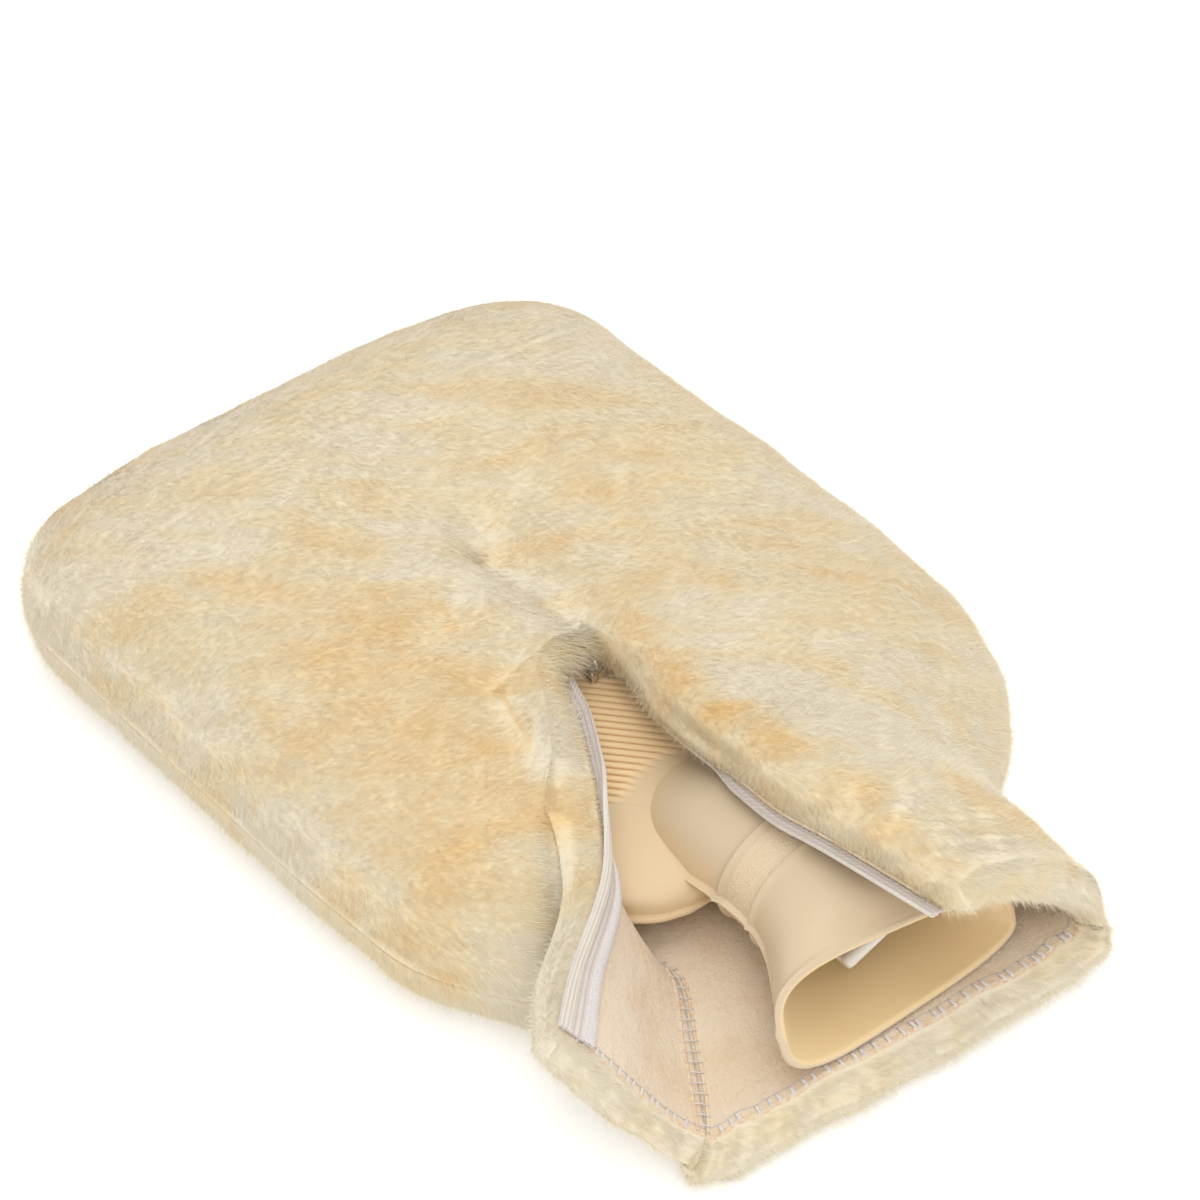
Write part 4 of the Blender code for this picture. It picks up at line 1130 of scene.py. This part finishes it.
def chest_ribs():
    """Broad rounded ribs with narrow grooves between, dying out in an arc before the shoulder."""
    bm = bmesh.new()
    s = np.arange(-72.0, -2.0, PITCH / 10)
    r = np.arange(-14.0, 56.0, 1.4)
    rows, low_rows, grooves = [], [], []
    for across in s:
        spot = abs((across / PITCH) % 1.0 - 0.5)
        groove = math.exp(-((0.5 - spot) / 0.14) ** 2)
        fade = np.clip((np.interp(across, *zip(*RIB_ENDS)) - r) / 4.0, 0.0, 1.0) * min(1.0, (across + 72.0) / 3.0)
        xy = across * RIB_STEP + r[:, None] * RIB_WAY
        z = chest_height(xy[:, 0], xy[:, 1])
        rise = 0.08 + fade * (RIB_DEEP * (1 - groove) + 0.12 * spot - 0.25)
        rows.append(verts_of(bm, np.column_stack([xy, z + rise])))
        low_rows.append(verts_of(bm, np.column_stack([xy, z - 1.2])))
        grooves.append(groove * fade)
    grid_faces(bm, rows)
    grid_faces(bm, low_rows)
    for first, second in ((rows[0], low_rows[0]), (rows[-1], low_rows[-1]),
                          ([row[0] for row in rows], [row[0] for row in low_rows]),
                          ([row[-1] for row in rows], [row[-1] for row in low_rows])):
        grid_faces(bm, [first, second])
    obj = piece("chest_ribs", bm, [RUBBER], sharp=50)
    points = mesh_arrays(obj.data)[0]
    across = points[:, :2] @ RIB_STEP / (RIB_STEP @ RIB_STEP)
    along = points[:, :2] @ RIB_WAY / (RIB_WAY @ RIB_WAY)
    spot = np.abs((across / PITCH) % 1.0 - 0.5)
    fade = np.clip((np.interp(across, *zip(*RIB_ENDS)) - along) / 4.0, 0.0, 1.0)
    # painted shade in the rib grooves
    add_attribute(obj.data, "groove", np.exp(-((0.5 - spot) / 0.14) ** 2) * fade)
    add_attribute(obj.data, "grain", np.zeros(len(points)))
    add_attribute(obj.data, "inside", np.zeros(len(points)))
    # painted light on the ribs
    add_attribute(obj.data, "ribs_painted_light", fade)
    add_attribute(obj.data, "plate", plate_share(points))


def select_by(obj, test, kind="EDGE"):
    """Selects, in edit mode, what passes the test. Everything else is left out."""
    mesh = bmesh.from_edit_mesh(obj.data)
    for group in (mesh.verts, mesh.edges, mesh.faces):
        for item in group:
            item.select = False
    for item in {"VERT": mesh.verts, "EDGE": mesh.edges, "FACE": mesh.faces}[kind]:
        item.select = bool(test(item))
    mesh.select_flush_mode()
    bmesh.update_edit_mesh(obj.data)


def set_in_place(obj, look):
    """Applies a hand-made piece's place and gives it its finish."""
    bpy.ops.object.select_all(action="DESELECT")
    obj.select_set(True)
    bpy.context.view_layer.objects.active = obj
    bpy.ops.object.transform_apply(location=True, rotation=True)
    obj.data.materials.clear()
    obj.data.materials.append(look)
    bpy.ops.object.shade_smooth_by_angle(angle=math.radians(40))
    obj.select_set(False)


def flat_stopper():
    """A frosted plug, its plate and the thick rounded bar at the plate's end, made as by hand."""
    length = SEAT_Y - PLUG_LENGTH / 2 - PADDLE_END - 2.5
    bpy.ops.mesh.primitive_cube_add(size=1.0)
    plate = bpy.context.object
    plate.name = "stopper_piece"
    plate.scale = (PADDLE_WIDTH * MM, length * MM, 3.0 * MM)
    bpy.ops.object.transform_apply(scale=True)
    bpy.ops.object.mode_set(mode="EDIT")
    bpy.ops.mesh.select_mode(type="EDGE")
    select_by(plate, lambda e: abs(e.verts[0].co.z - e.verts[1].co.z) > MM)
    bpy.ops.mesh.bevel(offset=1.6 * MM, segments=4)
    select_by(plate, lambda e: abs(e.verts[0].co.z - e.verts[1].co.z) < 1e-6)
    bpy.ops.mesh.bevel(offset=0.6 * MM, segments=3)
    bpy.ops.object.mode_set(mode="OBJECT")
    plate.location = (0, (PADDLE_END + 2.5 + length / 2) * MM, 0)
    bpy.ops.object.transform_apply(location=True)
    others = []
    for radius, depth, turn, place, rounded in (
            (2.4, PADDLE_WIDTH, (0, math.pi / 2, 0), (0, PADDLE_END + 2.4, 0), 2.2),
            (PLUG_RADIUS, PLUG_LENGTH, (math.pi / 2, 0, 0), (0, SEAT_Y - PLUG_LENGTH / 2, 0), 1.2)):
        bpy.ops.mesh.primitive_cylinder_add(vertices=48, radius=radius * MM, depth=depth * MM, rotation=turn,
                                            location=[v * MM for v in place])
        other = bpy.context.object
        bpy.ops.object.transform_apply(location=True, rotation=True)
        bpy.ops.object.mode_set(mode="EDIT")
        select_by(other, lambda e: len(e.link_faces) == 2 and any(len(f.verts) > 8 for f in e.link_faces))
        bpy.ops.mesh.bevel(offset=rounded * MM * 0.7, segments=4)
        bpy.ops.object.mode_set(mode="OBJECT")
        others.append(other)
    stopper = joined(plate, others)
    stopper.rotation_euler = (0, -math.radians(PADDLE_TURN), 0)
    stopper.location = (AXIS_X * MM, 0, AXIS_Z * MM)
    set_in_place(stopper, STOPPER_WHITE)
    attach(stopper, "stopper")
    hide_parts("stopper")


# ---------------------------------------------------------------- the zip

TAPE_LAST = APEX - STEPS  # the station where the tapes end, under the slider
TAPE_WIDTH, TAPE_THICK, TAPE_LIFT = 12.0, 0.7, 1.1
# How far the tapes stand past the opening's edges, from the mouth to the opening's end: share of the way, mm.
TAPE_PAST_EDGE = {
    -1: ((0.0, 0.3, 0.5, 1.0), (1.5, 3.0, 5.0, 6.0)),
    1: ((0.0, 0.42, 0.55, 1.0), (5.0, 4.2, 0.8, 0.0)),
}
TAPE_SPOTS = 37  # points across the tape
CORD_PITCH, CORD_RISE = 2.0, 0.16  # the lengthwise cords woven into the tape
OVERLOCK = 3.6  # width of the overlocking on the tape's inner edge
COIL_STEP = 0.45  # section to section along the coil, every other one a little thinner
# The slider and its pull are 8.5 nearer the closed end than in the solids.
SLIDER_AT, SLIDER_SIZE = (-4.5, -15.5, 46), (8, 11, 3.8)
PULL_START, PULL_END = (0.5, -22.5, 46.4), (8.0, -45.5, 46.4)
PULL_PROFILE = ((0, 1.3), (1.5, 1.7), (5, 1.6), (9, 2.0), (14, 3.0), (18.5, 3.5), (21.5, 3.1), (23.4, 1.9),
                (24.19, 0.6))  # along the pull, radius
TILT = (0.31, 0.2, 0.93)  # the direction from which sections of threads and coils take their sides


def tube(bm, points, radius, sides=6, flat=1.0):
    """A closed tube along the points."""
    points = np.asarray(points, float)
    ways = units(np.gradient(points, axis=0))
    rows = []
    second = np.array(TILT)
    for point, way in zip(points, ways):
        second = unit(second - way * (second @ way))
        first = np.cross(second, way)
        rows.append([point + radius * (first * math.cos(a) + second * flat * math.sin(a)) for a in turns(sides)])
    loft(bm, rows)


def curve_at(points, distances):
    """Points at the distances along a polyline."""
    run = run_along(points)
    return np.stack([np.interp(distances, run, points[:, i]) for i in range(3)], axis=1), run[-1]


def edge_frame(side, k):
    along = unit(side.edge[k + 1] - side.edge[max(k - 1, 0)])
    past = side.past_edge(k)
    inward = unit(np.cross(past, along))
    return side.edge[k], past, -inward if inward @ side.top_wool[k] > 0 else inward


def strip_point(side, k, distance, lift):
    """A point on the suede's side, so far back from the edge (or past it, if negative) and lifted off it."""
    edge, past, inward = edge_frame(side, k)
    if distance <= 0:
        return edge - past * distance + inward * lift
    points = side.skin(k, np.linspace(1.0, 0.3, 60))
    run = run_along(points)
    i = int(np.searchsorted(run, distance))
    here = lerp(points[i - 1], points[i], (distance - run[i - 1]) / (run[i] - run[i - 1]))
    along = unit(side.edge[k + 1] - side.edge[max(k - 1, 0)])
    away = unit(np.cross(unit(points[i - 1] - points[i]), along))
    return here + (away if away @ inward > 0 else -away) * lift


def tape_line(side, across, lift):
    """A line along the tape, so far across it from its free edge."""
    out = []
    for k in range(TAPE_LAST + 1):
        past = min(np.interp(k / APEX, *TAPE_PAST_EDGE[side.sign]), 0.36 * opening_width(k))
        out.append(strip_point(side, k, across - past, lift))
    return np.array(out)


def zip_tape(name, side):
    """Woven tape with lengthwise cords on both faces."""
    bm = bmesh.new()
    spots = np.linspace(0.0, TAPE_WIDTH, TAPE_SPOTS)
    cords = 0.5 + 0.5 * np.cos(2 * math.pi * spots / CORD_PITCH)
    unders = [tape_line(side, spot, TAPE_LIFT - CORD_RISE * cord) for spot, cord in zip(spots, cords)]
    overs = [tape_line(side, spot, TAPE_LIFT + TAPE_THICK + CORD_RISE * cord) for spot, cord in zip(spots, cords)]
    loft(bm, [[line[k] for line in unders] + [line[k] for line in overs[::-1]] for k in range(TAPE_LAST + 1)])
    obj = piece("tape_" + name, bm, [TAPE_CLOTH], sharp=60)
    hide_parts("zip_tape_" + name)
    mesh = obj.data
    points = mesh_arrays(mesh)[0]
    lines = np.array(overs).reshape(-1, 3)
    tree = kdtree.KDTree(len(lines))
    for i, point in enumerate(lines):
        tree.insert(point, i)
    tree.balance()
    run = run_along(overs[8])
    places = np.array([(spots[i // len(run)], run[i % len(run)]) for i in
                       (tree.find(point)[1] for point in points)])
    corners = np.empty(len(mesh.loops), int)
    mesh.loops.foreach_get("vertex_index", corners)
    mesh.uv_layers.new(name="UVMap").data.foreach_set("uv", (places[corners] * MM).astype(np.float32).ravel())
    # painted shade between the cords
    add_attribute(mesh, "groove", 0.5 - 0.5 * np.cos(2 * math.pi * places[:, 0] / CORD_PITCH))


def zip_coil(name, side):
    """The coil under the tape's folded edge: three soft cords side by side, finely ribbed across."""
    bm = bmesh.new()
    for across, radius, lift in ((0.7, 0.62, 2.1), (1.9, 0.78, 2.3), (3.2, 0.66, 2.1)):
        line = tape_line(side, across, lift)
        length = curve_at(line, [0])[1]
        points = curve_at(line, np.arange(0.0, length, COIL_STEP))[0]
        ways = units(np.gradient(points, axis=0))
        rows = []
        for i, (point, way) in enumerate(zip(points, ways)):
            first = unit(np.cross(way, TILT))
            second = np.cross(way, first)
            swell = radius * (1.0 if i % 2 else 0.93)
            rows.append([point + swell * (first * math.cos(a) + second * math.sin(a)) for a in turns(10)])
        loft(bm, rows)
    obj = piece("coil_" + name, bm, [NYLON], merge=1e-8)
    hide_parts("zip_coil_" + name)


def overlock(name, side):
    """White overlocking over the tape's inner edge: close crossing threads over it from a chain beside it."""
    bm = bmesh.new()
    far, near = TAPE_WIDTH + 0.25, TAPE_WIDTH - OVERLOCK
    lines = [tape_line(side, across, lift) for across, lift in
             ((near, TAPE_LIFT + TAPE_THICK + 0.25), (lerp(near, far, 0.5), TAPE_LIFT + TAPE_THICK + 0.5),
              (far, TAPE_LIFT + TAPE_THICK + 0.1), (far + 0.3, TAPE_LIFT + 0.2))]
    length = curve_at(lines[0], [0])[1]
    at = np.arange(0.3, length - 0.9, 0.62)
    spots = [curve_at(line, (at + shift) * curve_at(line, [0])[1] / length)[0]
             for line, shift in zip(lines, (0.0, 0.3, 0.55, 0.6))]
    for crossing in zip(*spots):
        tube(bm, crossing, 0.31, 5)
    tube(bm, lines[0], 0.3, 5)
    holes = tape_line(side, 5.6, TAPE_LIFT + TAPE_THICK + 0.05)
    for place in np.arange(2.0, length - 3.0, 2.4):
        tube(bm, curve_at(holes, [place, place + 0.7, place + 1.4])[0], 0.16, 4)
    piece("overlock_" + name, bm, [WHITE_THREAD], merge=1e-8)


def zip_slider():
    """Slider body with waisted sides and a bridge on top, and the ring to its pull."""
    bpy.ops.mesh.primitive_cube_add(size=1.0)
    slider = bpy.context.object
    slider.name = "slider"
    slider.scale = [v * MM for v in SLIDER_SIZE]
    bpy.ops.object.transform_apply(scale=True)
    bpy.ops.object.mode_set(mode="EDIT")
    bpy.ops.mesh.select_mode(type="FACE")
    bpy.ops.mesh.select_all(action="SELECT")
    bpy.ops.mesh.subdivide(number_cuts=3)
    select_by(slider, lambda v: abs(v.co.y) < 2 * MM and abs(v.co.x) > 3 * MM, "VERT")
    bpy.ops.transform.resize(value=(0.78, 1, 1))
    select_by(slider, lambda v: abs(v.co.z) < 0.5 * MM and abs(v.co.x) > 3 * MM, "VERT")
    bpy.ops.transform.resize(value=(0.86, 1, 1))
    bpy.ops.object.mode_set(mode="OBJECT")
    soften = slider.modifiers.new("soften", "BEVEL")
    soften.width, soften.segments, soften.limit_method = 0.5 * MM, 2, "ANGLE"
    bpy.ops.object.modifier_apply(modifier=soften.name)
    bpy.ops.mesh.primitive_torus_add(major_radius=2.1 * MM, minor_radius=0.55 * MM, major_segments=28, minor_segments=8,
                                     location=(0, -1.2 * MM, 1.9 * MM), rotation=(0, math.pi / 2, 0))
    bridge = bpy.context.object
    bpy.ops.object.transform_apply(location=True, rotation=True)
    slider = joined(slider, [bridge])
    slider.location = [v * MM for v in SLIDER_AT]
    set_in_place(slider, SLIDER_METAL)
    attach(slider, "cover")
    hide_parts("zip_slider")


def zip_pull():
    bm = bmesh.new()
    start, end = Vector(PULL_START), Vector(PULL_END)
    turn = (end - start).to_track_quat("Z", "Y").to_matrix()
    profile = np.array(PULL_PROFILE)
    smooth = np.stack([smooth_rows(profile[:, i], 4) for i in range(2)], axis=1)
    loft(bm, [[start + turn @ Vector((radius * math.cos(a), radius * math.sin(a), along))
               for a in turns(24)] for along, radius in smooth])
    obj = piece("pull", bm, [PULL_WHITE])
    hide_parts("zip_pull")


# ---------------------------------------------------------------- stitching on the pelts

SEAM_STITCHED = 26  # stations of the left seam with ladder stitches inside, from the mouth
RAW_STATIONS = 2, 38  # stations of the slit's right edge with a thin raw edge


def whip(bm, edge, inner, out, pitch, radius, rng):
    """Whip stitches over an edge: from the stitch line inside, over the edge and down past it."""
    length = curve_at(edge, [0])[1]
    at = np.arange(pitch, length - pitch, pitch)
    at = at + rng.uniform(-0.32, 0.32, len(at)) * pitch
    scale = curve_at(inner, [0])[1] / length
    starts, ends = curve_at(inner, at * scale)[0], curve_at(edge, at + 0.25 * pitch)[0]
    outs = curve_at(out, (at + 0.25 * pitch) * curve_at(out, [0])[1] / length)[0]
    run = units(np.gradient(ends, axis=0))
    for start, end, past, way in zip(starts, ends, outs, run):
        for strand in (-1.0, 0.0, 1.0):
            aside, fan = 1.7 * radius * strand * way, rng.uniform(0.5, 1.6)
            middle = lerp(start, end, 0.55) + (0, 0, 0.55) + aside
            tube(bm, [start + (0, 0, 0.05) + 0.4 * aside, lerp(start, middle, 0.6) + (0, 0, 0.2), middle,
                      end + (0, 0, 0.35) + fan * aside, past + fan * aside], radius, 5)


def edge_stitching():
    """Whip stitches and a grey blue line on the cut ends of the back and the left flap, a ladder of stitches up
    the left seam, and thin raw edges."""
    rng = np.random.default_rng(41)
    white, blue = bmesh.new(), bmesh.new()
    backs = bowed_back()[0]
    lift = np.array([0, 0, 0.25])
    back_edge = backs[0][3:-3]
    inner = np.array([lerp(a, b, 0.9) for a, b in zip(backs[0], backs[1])])[3:-3]
    way = units(back_edge - inner)
    whip(white, back_edge, back_edge - 2.7 * way + lift, back_edge + 1.0 * way - (0, 0, 1.2), 4.4, 0.2, rng)
    tube(blue, curve_at(back_edge - 3.0 * way + lift * 0.4, np.arange(2, 160, 1.5))[0], 0.15, 5)
    flap_t = np.linspace(0.06, 0.97, 60)
    edge, second = LEFT.skin(0, flap_t), LEFT.skin(1, flap_t)
    way = units(edge - second)
    along = units(np.gradient(edge, axis=0))
    face = units(np.cross(along, way))
    face = np.where((face @ np.array([0.5, -0.3, 0.8]) > 0)[:, None], face, -face)
    whip(white, edge + 0.1 * face, edge - 2.6 * way + 0.3 * face, edge + 1.2 * way - 1.2 * face, 3.4, 0.17, rng)
    tube(blue, edge - 2.2 * way + 0.15 * face, 0.15, 5)
    seam = []
    for k in range(SEAM_STITCHED):
        front = LEFT.skin(k, np.linspace(0, 0.5, 40))
        back = backs[k][:12]
        seam.append((curve_at(front, [2.3])[0][0], LEFT.seam[k], curve_at(back, [2.3])[0][0]))
    fronts, seams, behinds = (np.array(line) for line in zip(*seam))
    inward = np.array([0.75, -0.1, 0.65])
    length = curve_at(seams, [0])[1]
    at = np.arange(1.5, length, 4.0)
    lines = (fronts, seams, behinds)
    for a, m, b in zip(*(curve_at(line, at * curve_at(line, [0])[1] / length)[0] for line in lines)):
        a, b = a + 0.6 * unit(a - m), b + 0.6 * unit(b - m)
        tube(white, [a + 0.1 * inward, lerp(a, m, 0.4) + 1.3 * inward, m + 1.5 * inward,
                     lerp(b, m, 0.4) + 1.3 * inward, b + 0.1 * inward], 0.2, 5)
    tube(blue, seams + 0.8 * inward, 0.15, 5)
    made = [piece("white_stitches", white, [WHITE_THREAD], merge=1e-8),
            piece("grey_stitches", blue, [BLUE_THREAD], merge=1e-8)]
    raw = bmesh.new()
    for line in (fronts, behinds):
        tube(raw, line + 0.1 * inward, 0.6, 8, flat=0.5)
    tube(raw, back_edge - 0.2 * units(back_edge - inner), 0.18, 6)
    ways = np.array([RIGHT.past_edge(k) for k in range(*RAW_STATIONS)])
    tube(raw, RIGHT.edge[slice(*RAW_STATIONS)] + 0.4 * ways, 0.55, 8)
    made.append(piece("raw_edges", raw, [RAW_EDGE], merge=1e-8))
    return made


# ---------------------------------------------------------------- floor, light and camera

def floor():
    bpy.ops.mesh.primitive_plane_add(size=8.0)
    ground = bpy.context.object
    ground.name = "floor"
    made, tree, shader = new_material("pale lit floor", 0.9, Specular_IOR_Level=0.1, Emission_Strength=0.3,
                                      Emission_Color=(1.0, 1.0, 1.0, 1.0))
    coords = object_coords(tree)
    link(tree, ramp(tree, noise_of(tree, coords, 3.0), ((0.3, grey(0.93)), (0.7, grey(0.96)))),
         shader.inputs["Base Color"])
    ground.data.materials.append(made)
    ground.select_set(False)


LIT_SPOT, WARM_WHITE = Vector((0.03, 0.03, 0.03)), (1.0, 0.985, 0.95)


def area_light(name, place, size, power):
    data = bpy.data.lights.new(name, "AREA")
    data.size, data.energy, data.color = size, power, WARM_WHITE
    lamp = new_object(name, data)
    lamp.location = place
    lamp.rotation_euler = (LIT_SPOT - Vector(place)).to_track_quat("-Z", "Y").to_euler()


def studio():
    floor()
    world = bpy.data.worlds.new("studio")
    world.use_nodes = True
    sky = world.node_tree.nodes["Background"]
    sky.inputs["Color"].default_value = (1.0, 0.985, 0.96, 1.0)
    sky.inputs["Strength"].default_value = 0.82
    bpy.context.scene.world = world
    area_light("key", (1.25, 0.35, 1.75), 1.0, 7.0)
    area_light("overhead", (-0.05, 0.0, 2.0), 1.3, 7.5)
    area_light("front", (-0.75, -1.0, 1.4), 1.0, 7.5)
    bpy.context.scene.view_settings.view_transform = "Standard"


def camera():
    """The photograph's view: 40 degrees to the left of the front, 41 degrees up."""
    turn, rise, reach = math.radians(-40), math.radians(41), 3.6 / 2.85
    target = Vector((0.053, 0.048, 0.0))
    back = Vector((math.sin(turn) * math.cos(rise), -math.cos(turn) * math.cos(rise), math.sin(rise)))
    data = bpy.data.cameras.new("camera")
    data.lens, data.sensor_width, data.clip_start = 108.0, 36.0, 0.05
    eye = new_object("camera", data)
    eye.location = target + back * reach
    eye.rotation_euler = back.to_track_quat("Z", "Y").to_euler()
    bpy.context.scene.camera = eye


# ---------------------------------------------------------------- everything, in its place

front, back = front_pelt(PELT_LOOKS), back_pelt(PELT_LOOKS)
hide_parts("front_panel")
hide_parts("back_panel")
for pelt in (front, back):
    lumpy(pelt)
each = STRANDS
front_wool = strands_on(front, "front_wool", 3, each, 7)
back_wool = strands_on(back, "back_wool", 1, each, 8)
stitches = edge_stitching()
rubber_bottle()
chest_ribs()
flat_stopper()
for way, half in (("left", LEFT), ("right", RIGHT)):
    zip_tape(way, half)
    zip_coil(way, half)
    overlock(way, half)
zip_slider()
zip_pull()
studio()
camera()
